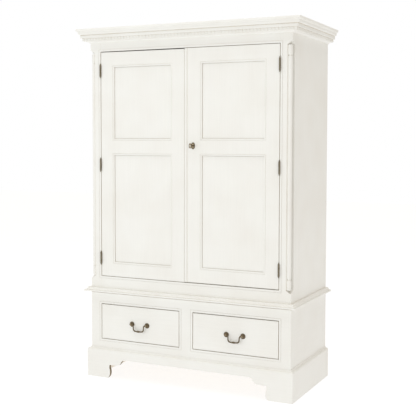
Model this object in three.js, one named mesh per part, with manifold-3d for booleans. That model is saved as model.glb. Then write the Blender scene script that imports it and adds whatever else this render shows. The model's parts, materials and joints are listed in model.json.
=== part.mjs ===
// A two-door armoire on a two-drawer base: painted case, panelled doors on finial hinges, mitred
// dentil cornice, round columns set into the front corners, bracket feet and swan-neck drop handles.
// Millimetres. +X is the right-hand side seen from the front, the front faces -Y and +Z is up.
// The origin is on the floor, in the middle of the whole piece's outline.

import * as THREE from "three";
import { mergeVertices } from "three/addons/utils/BufferGeometryUtils.js";
import Module from "manifold-3d";

const wasm = await Module();
wasm.setup();

// ---------------------------------------------------------------- driving sizes

// The whole case
const caseWidth = 1234; // over the two side boards
const caseDepth = 576; // front frame to back edge
const overallHeight = 2000;
const waistTop = 520; // floor to the top of the waist board

// Board thicknesses
const sideThickness = 22;
const frameThickness = 22;
const shelfThickness = 18;
const backThickness = 9;
const glueLine = 0.2; // left between boards that are glued together

// Cornice
const corniceHeight = 77;
const corniceOverhang = 61;
const dentilWidth = 11;
const dentilHeight = 14;
const dentilDepth = 6;
const dentilPitch = 20; // nearest pitch that fills a whole run is used
const dentilRise = 11; // bottom of the cornice to the bottom of the dentils
const dentilBandOverhang = 30;
const roofRecess = 6; // top of the cornice down to the roof board

// Front frame of the upper case
const postWidth = 67.5;
const postDepth = 60;
const friezeHeight = 50;
const lowerRailHeight = 67;
const floorLip = 10; // floor board stands above the opening so that the doors close on it

// Corner columns and the rebates they stand in
const rebateWidth = 30;
const rebateDepth = 34;
const columnRadius = 12.3;
const columnBlockHeight = 54;
const columnRingDepth = 2;
const columnRingHeight = 3;
const columnClearance = 0.5;
const stopLength = 22;
const lowerStopRise = 48; // waist to the tip of the lower stop
const upperStopDrop = 38; // cornice to the tip of the upper stop

// Doors
const doorThickness = 22;
const doorSideGap = 3; // holds the two hinge leaves
const doorMiddleGap = 3;
const doorTightGap = 2.5;
const doorWideGap = 4.5; // one door hangs a little low and the other a little high
const meetingLine = -9; // x of the joint between the doors
const hingeStileWidth = 76.5;
const meetingStileWidth = 76.5;
const meetingBeadWidth = 19;
const meetingBeadProud = 3.5;
const topRailHeight = 76;
const midRailHeight = 74;
const bottomRailHeight = 74;
const upperPanelHeight = 424;
const panelThickness = 8;
const panelBack = 18; // door face to the back of the panel
const mouldingWidth = 13;
const mouldingSink = 1.5; // door face to the top of the panel moulding

// Hinges
const hingeLength = 83; // over the finials
const hingeLeafHeight = 65;
const hingeLeafDepth = 20;
const hingeLeafThickness = 1.2;
const hingeBarrelRadius = 5.5;
const hingePinRadius = 2.2;
const hingePinClearance = 0.3;
const hingeKnuckleGap = 0.4;
const hingeFaceGap = 0.5; // barrel to the face of the doors
const hingeFromTop = 109; // top of the door opening to the middle of the top hinge
const hingeFromBottom = 106;

// Lock and key in the right-hand door
const keyFromEdge = 51; // meeting edge of the door to the keyhole
const keyAboveMidRail = 7;
const escutcheonHalfWidth = 12;
const escutcheonHalfHeight = 19;
const escutcheonThickness = 2.5;
const keyShaftRadius = 3;
const keyClearance = 0.6;
const keyBowRadius = 14.5;
const keyBowHole = 9.5;
const keyBowThickness = 4;
const keyBowOut = 49; // door face to the far side of the bow
const keyBitLength = 11;
const keyBitHeight = 7;
const keyBitThickness = 2.4;
const lockWidth = 80;
const lockHeight = 60;
const lockDepth = 13;
const lockWall = 2.5;
const boltHeight = 14;
const boltThickness = 4;
const boltThrow = 12;

// Hanging rail
const railRadius = 12.5;
const railSocketRadius = 24;
const railSocketDepth = 12;
const railFromRoof = 170;

// Base
const waistThickness = 28;
const waistOverhang = 33;
const plinthHeight = 173;
const plinthThickness = 18;
const plinthBevelHeight = 20;
const skirtHeight = 112; // floor to the straight edge between the feet
const footWidth = 135;
const footBulge = 18;
const footStepHeight = 77;
const footStepWidth = 198;
const footBracketWidth = 243;
const baseStileWidth = 67;
const baseTopRailHeight = 65;
const drawerOpeningHeight = 206;
const muntinWidth = 82;

// Drawers
const drawerGap = 3; // round the drawer fronts
const drawerFrontThickness = 20;
const drawerSlideGap = 1; // box to its guides and deck
const drawerBoxWall = 12;
const drawerBoxBottom = 8;
const drawerBoxHeight = 165;
const drawerBackSpace = 57; // drawer box to the back board
const guideHeight = 30;

// Drawer handles
const handleCentres = 98;
const roseRadius = 15;
const roseThickness = 4;
const postRadius = 5;
const bailPivotOut = 14; // drawer face to the bail's pivot
const bailPivotRadius = 2.6;
const bailPivotClearance = 0.3;
const bailLegSpacing = 66;
const bailDrop = 36;
const bailRadius = 3.3;
const bailGripRadius = 4.6;

// Facets
const roundSides = 20;
const smallRoundSides = 12;

// ---------------------------------------------------------------- places worked out from the sizes

const halfCase = caseWidth / 2;
const frontY = (corniceOverhang - caseDepth) / 2;
const backY = frontY + caseDepth;
const corniceBottom = overallHeight - corniceHeight;
const waistBottom = waistTop - waistThickness;
const caseTop = overallHeight - roofRecess;
const roofBottom = caseTop - shelfThickness;
const innerHalf = halfCase - sideThickness;
const backInnerY = backY - backThickness;

const openingHalf = halfCase - postWidth;
const openingBottom = waistTop + lowerRailHeight;
const openingTop = corniceBottom - friezeHeight;
const floorTop = openingBottom + floorLip;

const hingeX = openingHalf - doorSideGap / 2;
const hingeY = frontY - hingeBarrelRadius - hingeFaceGap;

const drawerOpeningTop = waistBottom - baseTopRailHeight;
const drawerOpeningBottom = drawerOpeningTop - drawerOpeningHeight;
const drawerInner = muntinWidth / 2;
const drawerOuter = halfCase - baseStileWidth;
const drawerBoxDepth = caseDepth - drawerFrontThickness - backThickness - drawerBackSpace;

// ---------------------------------------------------------------- shaping helpers

// Turns a geometry into a manifold solid so that it can be cut or joined.
function toSolid(geometry) {
  const bare = geometry.index ? geometry.toNonIndexed() : geometry.clone();
  bare.deleteAttribute("normal");
  bare.deleteAttribute("uv");
  const merged = mergeVertices(bare, 1e-4);
  return new wasm.Manifold(
    new wasm.Mesh({
      numProp: 3,
      vertProperties: merged.attributes.position.array,
      triVerts: new Uint32Array(merged.index.array),
    }),
  );
}

// Turns a manifold solid back into a geometry.
function toGeometry(solid) {
  const { vertProperties, triVerts } = solid.getMesh();
  const geometry = new THREE.BufferGeometry();
  geometry.setAttribute("position", new THREE.BufferAttribute(vertProperties, 3));
  geometry.setIndex(new THREE.BufferAttribute(triVerts, 1));
  geometry.computeVertexNormals();
  return geometry;
}

function outline(points) {
  return new THREE.Shape(points.map(([a, b]) => new THREE.Vector2(a, b)));
}

function extrude(shape, depth, curveSegments = 4) {
  return new THREE.ExtrudeGeometry(shape, { depth, bevelEnabled: false, curveSegments });
}

// A prism whose outline lies in (x, y) and that runs up from low to high.
function prismZ(shape, low, high, curveSegments) {
  return extrude(shape, high - low, curveSegments).translate(0, 0, low);
}

// A prism whose outline lies in (y, z) and that runs along x from low to high.
function prismX(shape, low, high, curveSegments) {
  const turn = new THREE.Matrix4().makeBasis(
    new THREE.Vector3(0, 1, 0),
    new THREE.Vector3(0, 0, 1),
    new THREE.Vector3(1, 0, 0),
  );
  return extrude(shape, high - low, curveSegments).applyMatrix4(turn).translate(low, 0, 0);
}

// A prism whose outline lies in (x, z) and that runs along y from low to high.
function prismY(shape, low, high, curveSegments) {
  const turn = new THREE.Matrix4().makeBasis(
    new THREE.Vector3(1, 0, 0),
    new THREE.Vector3(0, 0, 1),
    new THREE.Vector3(0, -1, 0),
  );
  return extrude(shape, high - low, curveSegments).applyMatrix4(turn).translate(0, high, 0);
}

// A box given by its low and high corners.
function box([x0, y0, z0], [x1, y1, z1]) {
  const block = new THREE.BoxGeometry(x1 - x0, y1 - y0, z1 - z0);
  return block.translate((x0 + x1) / 2, (y0 + y1) / 2, (z0 + z1) / 2);
}

// The same box on the left (side -1) or right (side 1): x is measured outwards from the middle.
function sidedBox(side, [x0, y0, z0], [x1, y1, z1]) {
  const [low, high] = side > 0 ? [x0, x1] : [-x1, -x0];
  return box([low, y0, z0], [high, y1, z1]);
}

// A turned shape about a vertical axis, from [radius, height] points that start and end on it.
function turned(profile, sides = roundSides) {
  const points = profile.map(([radius, height]) => new THREE.Vector2(radius, height));
  return new THREE.LatheGeometry(points, sides).rotateX(Math.PI / 2);
}

// The same with its axis pointing forwards, out of the front of the piece.
function turnedForward(profile, sides = roundSides) {
  return turned(profile, sides).rotateX(Math.PI / 2);
}

// The same with its axis along x.
function turnedAcross(profile, sides = roundSides) {
  return turned(profile, sides).rotateY(Math.PI / 2);
}

// ---------------------------------------------------------------- finishes

function paint() {
  return new THREE.MeshStandardMaterial({ color: 0xf1f0eb, roughness: 0.5, metalness: 0 });
}

function bareWood() {
  return new THREE.MeshStandardMaterial({ color: 0xd9b98a, roughness: 0.7, metalness: 0 });
}

function antiqueBrass() {
  return new THREE.MeshStandardMaterial({ color: 0x6d5f49, roughness: 0.45, metalness: 1 });
}

function plated() {
  return new THREE.MeshStandardMaterial({ color: 0xc4c4c2, roughness: 0.25, metalness: 1 });
}

const armoire = new THREE.Group();
armoire.name = "armoire";

function group(parent, name, x = 0, y = 0, z = 0) {
  const made = new THREE.Group();
  made.name = name;
  made.position.set(x, y, z);
  parent.add(made);
  return made;
}

function add(parent, name, geometry, material) {
  const mesh = new THREE.Mesh(geometry, material);
  mesh.name = name;
  parent.add(mesh);
  return mesh;
}

const sides = [
  ["left", -1],
  ["right", 1],
];

// ---------------------------------------------------------------- mouldings that run round three sides

// A solid slab over the case's plan whose front, left and right edges follow one profile of
// [overhang, height] points. The two extrusions meet in true mitres at the front corners.
function mouldedSlab(profile, curveSegments) {
  const heights = profile.map(([, height]) => height);
  const low = Math.min(...heights);
  const high = Math.max(...heights);
  const reach = Math.max(...profile.map(([overhang]) => overhang)) + 1;
  const front = outline([
    ...profile.map(([overhang, height]) => [frontY - overhang, height]),
    [backY, high],
    [backY, low],
  ].reverse());
  const right = profile.map(([overhang, height]) => [halfCase + overhang, height]);
  const left = profile.map(([overhang, height]) => [-halfCase - overhang, height]).reverse();
  const across = toSolid(prismX(front, -halfCase - reach, halfCase + reach, curveSegments));
  const along = toSolid(prismY(outline([...right, ...left]), frontY - reach, backY, curveSegments));
  return across.intersect(along);
}

// Points of a quarter curve between two profile points; hollow bends it inwards and round outwards.
function quarterCurve([fromX, fromY], [toX, toY], hollow, steps = 3) {
  const points = [];
  for (let i = 1; i < steps; i++) {
    const angle = (i / steps) * (Math.PI / 2);
    const along = hollow ? 1 - Math.cos(angle) : Math.sin(angle);
    const up = hollow ? Math.sin(angle) : 1 - Math.cos(angle);
    points.push([fromX + (toX - fromX) * along, fromY + (toY - fromY) * up]);
  }
  return points;
}

// ---------------------------------------------------------------- upper case

const upperCase = group(armoire, "upper_case");

// The stopped rebate in the front corner of a post: full size behind the column and closing to
// nothing at both ends on a quarter ellipse.
function cornerRebate(side) {
  const lowTip = waistTop + lowerStopRise;
  const highTip = corniceBottom - upperStopDrop;
  const steps = 5;
  function silhouette(size, sign, cornerAt, beyond) {
    const points = [[cornerAt + sign, lowTip]];
    for (let i = 0; i <= steps; i++) {
      const angle = (i / steps) * (Math.PI / 2);
      points.push([
        cornerAt - sign * size * Math.sin(angle),
        lowTip + stopLength * (1 - Math.cos(angle)),
      ]);
    }
    for (let i = 0; i <= steps; i++) {
      const angle = (i / steps) * (Math.PI / 2);
      points.push([
        cornerAt - sign * size * Math.cos(angle),
        highTip - stopLength * (1 - Math.sin(angle)),
      ]);
    }
    points.push([cornerAt + sign * beyond, highTip]);
    points[0] = [cornerAt + sign * beyond, lowTip];
    return outline(points);
  }
  const fromFront = prismY(silhouette(rebateWidth, side, side * halfCase, 1), frontY - 1, backY);
  const fromSide = prismX(silhouette(rebateDepth, -1, frontY, 1), -halfCase - 2, halfCase + 2);
  return toSolid(fromFront).intersect(toSolid(fromSide));
}

for (const [word, side] of sides) {
  add(
    upperCase,
    `upper_side_${word}`,
    sidedBox(
      side,
      [innerHalf, frontY + postDepth + glueLine, waistTop + glueLine],
      [halfCase, backY, caseTop],
    ),
    paint(),
  );

  const blank = toSolid(
    sidedBox(side, [openingHalf, frontY, waistTop + glueLine], [halfCase, frontY + postDepth, caseTop]),
  );
  add(upperCase, `corner_post_${word}`, toGeometry(blank.subtract(cornerRebate(side))), paint());

  const bottom = waistTop + lowerStopRise + stopLength;
  const top = corniceBottom - upperStopDrop - stopLength;
  const ring = (height) => [
    [columnRadius, height - columnRingHeight / 2],
    [columnRadius - columnRingDepth, height],
    [columnRadius, height + columnRingHeight / 2],
  ];
  const column = add(
    upperCase,
    `corner_column_${word}`,
    turned([
      [0, bottom],
      [columnRadius, bottom],
      ...ring(bottom + columnBlockHeight),
      ...ring(top - columnBlockHeight),
      [columnRadius, top],
      [0, top],
    ]),
    paint(),
  );
  const columnX = halfCase - rebateWidth + columnRadius + columnClearance;
  column.position.set(side * columnX, frontY + columnRadius + columnClearance, 0);
}

add(
  upperCase,
  "frieze_rail",
  box(
    [-openingHalf + glueLine, frontY, openingTop],
    [openingHalf - glueLine, frontY + frameThickness, caseTop],
  ),
  paint(),
);
add(
  upperCase,
  "rail_below_doors",
  box(
    [-openingHalf + glueLine, frontY, waistTop + glueLine],
    [openingHalf - glueLine, frontY + frameThickness, openingBottom],
  ),
  paint(),
);

// Roof and floor boards fill the case behind the rails and are notched round the two posts.
function notchedBoard() {
  const behindRail = frontY + frameThickness + glueLine;
  const behindPost = frontY + postDepth + glueLine;
  const narrow = openingHalf - glueLine;
  const wide = innerHalf - glueLine;
  return outline([
    [-narrow, behindRail],
    [narrow, behindRail],
    [narrow, behindPost],
    [wide, behindPost],
    [wide, backInnerY - glueLine],
    [-wide, backInnerY - glueLine],
    [-wide, behindPost],
    [-narrow, behindPost],
  ]);
}
add(upperCase, "roof_board", prismZ(notchedBoard(), roofBottom, caseTop), paint());
add(upperCase, "floor_board", prismZ(notchedBoard(), floorTop - shelfThickness, floorTop), paint());
add(
  upperCase,
  "upper_back_board",
  box(
    [-innerHalf + glueLine, backInnerY, waistTop + glueLine],
    [innerHalf - glueLine, backY, caseTop],
  ),
  paint(),
);

// Hanging rail with its end sockets, screwed to the side boards.
const railHalf = innerHalf - glueLine;
const rail = add(
  upperCase,
  "hanging_rail",
  turnedAcross(
    [
      [0, -railHalf],
      [railSocketRadius, -railHalf],
      [railSocketRadius, -railHalf + railSocketDepth],
      [railRadius, -railHalf + railSocketDepth],
      [railRadius, railHalf - railSocketDepth],
      [railSocketRadius, railHalf - railSocketDepth],
      [railSocketRadius, railHalf],
      [0, railHalf],
    ],
    roundSides,
  ),
  plated(),
);
rail.position.set(0, (frontY + postDepth + backInnerY) / 2, roofBottom - railFromRoof);

// ---------------------------------------------------------------- cornice

// From the case outwards and up: bed mould, dentil band, corona, crown curve and top fillet.
function corniceProfile() {
  const bed = [corniceOverhang * 0.1, corniceBottom];
  const bedTop = [dentilBandOverhang - 6, corniceBottom + dentilRise - 2];
  const bandLow = [dentilBandOverhang, corniceBottom + dentilRise - 2];
  const bandHigh = [dentilBandOverhang, corniceBottom + dentilRise + dentilHeight];
  const coronaOut = dentilBandOverhang + dentilDepth * 2;
  const coronaTop = overallHeight - 31;
  const crownLow = [coronaOut + 3, coronaTop];
  const crownMiddle = [(coronaOut + corniceOverhang) / 2 + 1, overallHeight - 22];
  const crownHigh = [corniceOverhang - 3, overallHeight - 13];
  return [
    [0, corniceBottom],
    bed,
    ...quarterCurve(bed, bedTop, true),
    bedTop,
    bandLow,
    bandHigh,
    [coronaOut, bandHigh[1]],
    [coronaOut, coronaTop - 1],
    crownLow,
    ...quarterCurve(crownLow, crownMiddle, false),
    crownMiddle,
    ...quarterCurve(crownMiddle, crownHigh, true),
    crownHigh,
    [corniceOverhang, crownHigh[1]],
    [corniceOverhang, overallHeight],
    [0, overallHeight],
  ];
}

// A comb-shaped strip of dentils, its backbone buried in the cornice, running round three sides.
function dentilStrip() {
  const root = dentilBandOverhang - 2;
  const tip = dentilBandOverhang + dentilDepth;
  const low = corniceBottom + dentilRise;
  const high = low + dentilHeight + 0.5;
  const frontRun = caseWidth + 2 * tip - dentilWidth;
  const sideRun = caseDepth + tip - dentilWidth;
  const frontCount = Math.round(frontRun / dentilPitch);
  const sideCount = Math.round(sideRun / dentilPitch);
  const teeth = [];
  for (let i = 0; i <= frontCount; i++) {
    const x = -halfCase - tip + (frontRun * i) / frontCount;
    teeth.push(box([x, frontY - tip, low], [x + dentilWidth, frontY - root, high]));
  }
  for (const [, side] of sides) {
    for (let i = 1; i <= sideCount; i++) {
      const y = frontY - tip + (sideRun * i) / sideCount;
      teeth.push(sidedBox(side, [halfCase + root, y, low], [halfCase + tip, y + dentilWidth, high]));
    }
  }
  return wasm.Manifold.union(teeth.map(toSolid));
}

const corniceBody = mouldedSlab(corniceProfile());
const caseInCornice = toSolid(
  box(
    [-halfCase - glueLine, frontY - glueLine, corniceBottom - 1],
    [halfCase + glueLine, backY + 1, overallHeight + 1],
  ),
);
const corniceSolid = corniceBody.subtract(caseInCornice).add(dentilStrip());
add(upperCase, "cornice", toGeometry(corniceSolid), paint());

// ---------------------------------------------------------------- base

const base = group(armoire, "base");

// The waist board: a rounded nose over a cove.
function waistProfile() {
  const noseHigh = waistTop;
  const noseLow = waistTop - 14;
  const nose = [waistOverhang, (noseHigh + noseLow) / 2];
  const coveHigh = [waistOverhang - 6, noseLow - 1];
  const coveLow = [4, waistBottom + 2];
  return [
    [0, waistBottom],
    [4, waistBottom],
    coveLow,
    ...quarterCurve(coveLow, coveHigh, true),
    coveHigh,
    [waistOverhang - 5, noseLow],
    ...quarterCurve([waistOverhang - 5, noseLow], nose, false, 3),
    nose,
    ...quarterCurve([waistOverhang - 5, noseHigh], nose, false, 3).reverse(),
    [waistOverhang - 5, noseHigh],
    [0, noseHigh],
  ];
}
add(base, "waist_board", toGeometry(mouldedSlab(waistProfile())), paint());

for (const [word, side] of sides) {
  add(
    base,
    `base_side_${word}`,
    sidedBox(
      side,
      [innerHalf, frontY + frameThickness + glueLine, 0],
      [halfCase, backY, waistBottom - glueLine],
    ),
    paint(),
  );
}
add(
  base,
  "base_back_board",
  box(
    [-innerHalf + glueLine, backInnerY, skirtHeight],
    [innerHalf - glueLine, backY, waistBottom - glueLine],
  ),
  paint(),
);

// The front frame round the two drawers.
let faceFrame = toSolid(
  box([-halfCase, frontY, skirtHeight], [halfCase, frontY + frameThickness, waistBottom - glueLine]),
);
for (const [, side] of sides) {
  const hole = sidedBox(
    side,
    [drawerInner, frontY - 1, drawerOpeningBottom],
    [drawerOuter, frontY + frameThickness + 1, drawerOpeningTop],
  );
  faceFrame = faceFrame.subtract(toSolid(hole));
}
add(base, "base_face_frame", toGeometry(faceFrame), paint());

// The deck that the drawers run on, with a guide rail glued on at each side and in the middle.
function deckSection() {
  const edge = innerHalf - glueLine;
  const guideTop = drawerOpeningBottom + guideHeight;
  return outline([
    [-edge, drawerOpeningBottom - shelfThickness],
    [edge, drawerOpeningBottom - shelfThickness],
    [edge, guideTop],
    [drawerOuter, guideTop],
    [drawerOuter, drawerOpeningBottom],
    [drawerInner, drawerOpeningBottom],
    [drawerInner, guideTop],
    [-drawerInner, guideTop],
    [-drawerInner, drawerOpeningBottom],
    [-drawerOuter, drawerOpeningBottom],
    [-drawerOuter, guideTop],
    [-edge, guideTop],
  ]);
}
add(
  base,
  "drawer_deck",
  prismY(deckSection(), frontY + frameThickness + glueLine, backInnerY - glueLine),
  bareWood(),
);

// The plinth: boards mitred round the front and both sides, with a moulded top edge.
function plinthProfile() {
  const bevelLow = [plinthThickness, plinthHeight - plinthBevelHeight];
  const middle = [plinthThickness * 0.55, plinthHeight - plinthBevelHeight * 0.45];
  const bevelHigh = [2, plinthHeight - 2];
  return [
    [0, 0],
    [plinthThickness, 0],
    bevelLow,
    ...quarterCurve(middle, bevelLow, false).reverse(),
    middle,
    ...quarterCurve(bevelHigh, middle, true).reverse(),
    bevelHigh,
    [2, plinthHeight],
    [0, plinthHeight],
  ];
}

// The empty outline between the two bracket feet, seen from the front.
function betweenFeet() {
  const end = halfCase + plinthThickness;
  const gap = new THREE.Shape();
  gap.moveTo(end - footWidth, -1);
  gap.lineTo(end - footWidth, 0);
  gap.bezierCurveTo(
    end - footWidth - footBulge - 4, 14,
    end - footWidth - footBulge - 2, 40,
    end - footWidth - 13, footStepHeight - 16,
  );
  gap.lineTo(end - footWidth - 15, footStepHeight);
  gap.lineTo(end - footStepWidth, footStepHeight);
  gap.bezierCurveTo(
    end - footStepWidth - 32, footStepHeight + 4,
    end - footStepWidth - 22, skirtHeight,
    end - footBracketWidth - 6, skirtHeight,
  );
  gap.lineTo(-end + footBracketWidth + 6, skirtHeight);
  gap.bezierCurveTo(
    -end + footStepWidth + 22, skirtHeight,
    -end + footStepWidth + 32, footStepHeight + 4,
    -end + footStepWidth, footStepHeight,
  );
  gap.lineTo(-end + footWidth + 15, footStepHeight);
  gap.lineTo(-end + footWidth + 13, footStepHeight - 16);
  gap.bezierCurveTo(
    -end + footWidth + footBulge + 2, 40,
    -end + footWidth + footBulge + 4, 14,
    -end + footWidth, 0,
  );
  gap.lineTo(-end + footWidth, -1);
  return gap;
}

const caseInPlinth = toSolid(
  box(
    [-halfCase - glueLine, frontY - glueLine, -1],
    [halfCase + glueLine, backY + 1, plinthHeight + 1],
  ),
);
const footGap = toSolid(prismY(betweenFeet(), frontY - plinthThickness - 1, frontY + 1, 6));
const plinthSolid = mouldedSlab(plinthProfile()).subtract(caseInPlinth).subtract(footGap);
add(base, "plinth", toGeometry(plinthSolid), paint());

// ---------------------------------------------------------------- doors

// A sunk panel with its moulding planted round the edge: a frame that slopes down to a flat field.
function mouldedPanel(x0, x1, z0, z1) {
  const section = (inset, depth) => [inset, depth];
  const body = toSolid(box([x0, mouldingSink, z0], [x1, panelBack, z1]));
  const fieldDepth = panelBack - panelThickness;
  const steps = [
    section(mouldingWidth * 0.45, mouldingSink),
    section(mouldingWidth, fieldDepth),
  ];
  const [[insetFront, depthFront], [insetField, depthField]] = steps;
  const sunk = new THREE.BufferGeometry();
  const corners = [
    [insetFront, depthFront - 1],
    [insetFront, depthFront],
    [insetField, depthField],
  ].flatMap(([inset, depth]) => [
    [x0 + inset, depth, z0 + inset],
    [x1 - inset, depth, z0 + inset],
    [x1 - inset, depth, z1 - inset],
    [x0 + inset, depth, z1 - inset],
  ]);
  const faces = [
    [0, 1, 2],
    [0, 2, 3],
    [8, 10, 9],
    [8, 11, 10],
  ];
  for (const layer of [0, 4]) {
    for (let i = 0; i < 4; i++) {
      const next = (i + 1) % 4;
      faces.push([layer + i, layer + 4 + i, layer + 4 + next]);
      faces.push([layer + i, layer + 4 + next, layer + next]);
    }
  }
  sunk.setAttribute("position", new THREE.Float32BufferAttribute(corners.flat(), 3));
  sunk.setIndex(faces.flat());
  return toGeometry(body.subtract(toSolid(sunk)));
}

// One door in its own group. In it, x runs from the hinge edge towards the meeting edge in steps
// of `side`, y is measured back from the door's face and z up from its bottom edge.
function door(word, side) {
  const openingWidth = side > 0 ? openingHalf - meetingLine : openingHalf + meetingLine;
  const width = openingWidth - doorSideGap - doorMiddleGap / 2;
  const lowGap = side > 0 ? doorWideGap : doorTightGap;
  const height = openingTop - openingBottom - doorTightGap - doorWideGap;
  const hung = group(
    armoire,
    `${word}_door`,
    side * (openingHalf - doorSideGap),
    frontY,
    openingBottom + lowGap,
  );
  const beadWidth = side > 0 ? meetingBeadWidth - doorMiddleGap / 2 : 0;
  const meetingWidth = meetingStileWidth + beadWidth;
  const panelFrom = hingeStileWidth;
  const panelTo = width - meetingWidth;
  const midRailTop = height - topRailHeight - upperPanelHeight;
  const midRailLow = midRailTop - midRailHeight;
  const inX = (from, to) => (side > 0 ? [-to, -from] : [from, to]);

  function member(name, from, to, z0, z1) {
    const [x0, x1] = inX(from, to);
    add(hung, `${word}_door_${name}`, box([x0, 0, z0], [x1, doorThickness, z1]), paint());
  }
  member("hinge_stile", 0, hingeStileWidth, 0, height);
  member("top_rail", panelFrom + glueLine, panelTo - glueLine, height - topRailHeight, height);
  member("mid_rail", panelFrom + glueLine, panelTo - glueLine, midRailLow, midRailTop);
  member("bottom_rail", panelFrom + glueLine, panelTo - glueLine, 0, bottomRailHeight);

  if (side > 0) {
    // The right-hand meeting stile carries a half-round bead that dresses the joint.
    const flat = width - beadWidth;
    const stile = new THREE.Shape();
    stile.moveTo(-panelTo, 0);
    stile.lineTo(-panelTo, doorThickness);
    stile.lineTo(-width, doorThickness);
    stile.lineTo(-width, 0);
    stile.bezierCurveTo(
      -width, -meetingBeadProud * 1.33,
      -flat, -meetingBeadProud * 1.33,
      -flat, 0,
    );
    const keyhole = turnedForward(
      [
        [0, -doorThickness - 1],
        [keyShaftRadius + keyClearance, -doorThickness - 1],
        [keyShaftRadius + keyClearance, 1],
        [0, 1],
      ],
      smallRoundSides,
    ).translate(-(width - keyFromEdge), 0, (midRailLow + midRailTop) / 2 + keyAboveMidRail);
    const bored = toSolid(prismZ(stile, 0, height, 6)).subtract(toSolid(keyhole));
    add(hung, `${word}_door_meeting_stile`, toGeometry(bored), paint());
  } else {
    member("meeting_stile", panelTo, width, 0, height);
  }

  function panel(name, z0, z1) {
    const [x0, x1] = inX(panelFrom + glueLine, panelTo - glueLine);
    const geometry = mouldedPanel(x0, x1, z0 + glueLine, z1 - glueLine);
    add(hung, `${word}_door_${name}`, geometry, paint());
  }
  panel("upper_panel", midRailTop, height - topRailHeight);
  panel("lower_panel", bottomRailHeight, midRailLow);
  return { hung, width, height, keyZ: (midRailLow + midRailTop) / 2 + keyAboveMidRail };
}

const doorGroups = {};
for (const [word, side] of sides) doorGroups[word] = door(word, side);

// ---------------------------------------------------------------- lock and key

// The key's own group sits on the keyhole's axis at the face of the door.
const lockDoor = doorGroups.right;
const keyAt = [-(lockDoor.width - keyFromEdge), 0, lockDoor.keyZ];
const lock = group(lockDoor.hung, "lock", ...keyAt);
const keyBore = keyShaftRadius + keyClearance;

function boreThrough(y0, y1) {
  const bore = [[0, -y1], [keyBore, -y1], [keyBore, -y0], [0, -y0]];
  return toSolid(turnedForward(bore, smallRoundSides));
}

// Oval plate, bevelled towards its edge.
const oval = new THREE.Shape();
oval.absellipse(0, 0, escutcheonHalfWidth - 1.5, escutcheonHalfHeight - 1.5, 0, 2 * Math.PI);
const plate = new THREE.ExtrudeGeometry(oval, {
  depth: escutcheonThickness - 1.5,
  bevelEnabled: true,
  bevelThickness: 1.5,
  bevelSize: 1.5,
  bevelSegments: 2,
  curveSegments: 7,
});
plate.rotateX(Math.PI / 2);
const plateBody = toSolid(plate).intersect(toSolid(box([-99, -99, -99], [99, -glueLine, 99])));
add(
  lock,
  "key_escutcheon",
  toGeometry(plateBody.subtract(boreThrough(-escutcheonThickness - 2, 1))),
  antiqueBrass(),
);

// Rim lock screwed to the back of the stile: a shallow case, open towards the stile.
const lockFront = doorThickness;
const lockFromKey = -keyFromEdge + doorMiddleGap / 2;
const keyDrop = lockHeight * 0.22; // keyhole below the middle of the case
const lockLow = keyDrop - lockHeight / 2;
const lockShell = toSolid(
  box(
    [lockFromKey, lockFront, lockLow],
    [lockFromKey + lockWidth, lockFront + lockDepth, lockLow + lockHeight],
  ),
);
const lockHollow = toSolid(
  box(
    [lockFromKey + lockWall, lockFront - 1, lockLow + lockWall],
    [
      lockFromKey + lockWidth - lockWall,
      lockFront + lockDepth - lockWall,
      lockLow + lockHeight - lockWall,
    ],
  ),
);
const boltLow = keyBitLength + keyShaftRadius + 3;
const boltFront = lockFront + lockDepth / 2 - boltThickness / 2;
const boltSlot = toSolid(
  box(
    [lockFromKey - 1, boltFront - keyClearance, boltLow - keyClearance],
    [
      lockFromKey + lockWall + 1,
      boltFront + boltThickness + keyClearance,
      boltLow + boltHeight + keyClearance,
    ],
  ),
);
const lockCase = lockShell.subtract(lockHollow).subtract(boltSlot);
add(lock, "lock_case", toGeometry(lockCase), antiqueBrass());
add(
  lock,
  "lock_bolt",
  box(
    [lockFromKey, boltFront, boltLow],
    [
      lockFromKey + lockWidth - lockWall - 1,
      boltFront + boltThickness,
      boltLow + boltHeight,
    ],
  ),
  plated(),
);

// The key: a ring bow that stands on edge, a shaft and a bit that hangs down inside the lock.
function doorKey() {
  const bowMiddle = keyBowOut - keyBowRadius;
  const tip = lockFront + lockDepth - lockWall - 1;
  const shaft = toSolid(
    turnedForward(
      [
        [0, -tip],
        [keyShaftRadius, -tip],
        [keyShaftRadius, escutcheonThickness + 2],
        [keyShaftRadius + 2, escutcheonThickness + 3],
        [keyShaftRadius + 2, escutcheonThickness + 6],
        [keyShaftRadius, escutcheonThickness + 7],
        [keyShaftRadius, bowMiddle - keyBowHole - 1],
        [0, bowMiddle - keyBowHole - 1],
      ],
      smallRoundSides,
    ),
  );
  const ring = new THREE.Shape();
  ring.absarc(0, 0, keyBowRadius, 0, 2 * Math.PI);
  const half = keyBowThickness / 2;
  const disc = toSolid(prismX(ring, -half, half, 7).translate(0, -bowMiddle, 0));
  const eye = new THREE.Shape();
  eye.absarc(0, 0, keyBowHole, 0, 2 * Math.PI);
  const hole = toSolid(prismX(eye, -half - 1, half + 1, 6).translate(0, -bowMiddle, 0));
  const bit = toSolid(
    box(
      [-keyBitThickness / 2, tip - keyBitHeight, -keyBitLength - keyShaftRadius + 1],
      [keyBitThickness / 2, tip - 0.5, 0],
    ),
  );
  return shaft.add(disc).subtract(hole).add(bit);
}
add(lock, "door_key", toGeometry(doorKey()), antiqueBrass());

// ---------------------------------------------------------------- hinges

const hingeHeights = [
  ["top", openingTop - hingeFromTop],
  ["middle", (openingTop - hingeFromTop + openingBottom + hingeFromBottom) / 2],
  ["bottom", openingBottom + hingeFromBottom],
];
const knuckle = hingeLeafHeight / 3;
const finial = (hingeLength - hingeLeafHeight) / 2;

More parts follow.
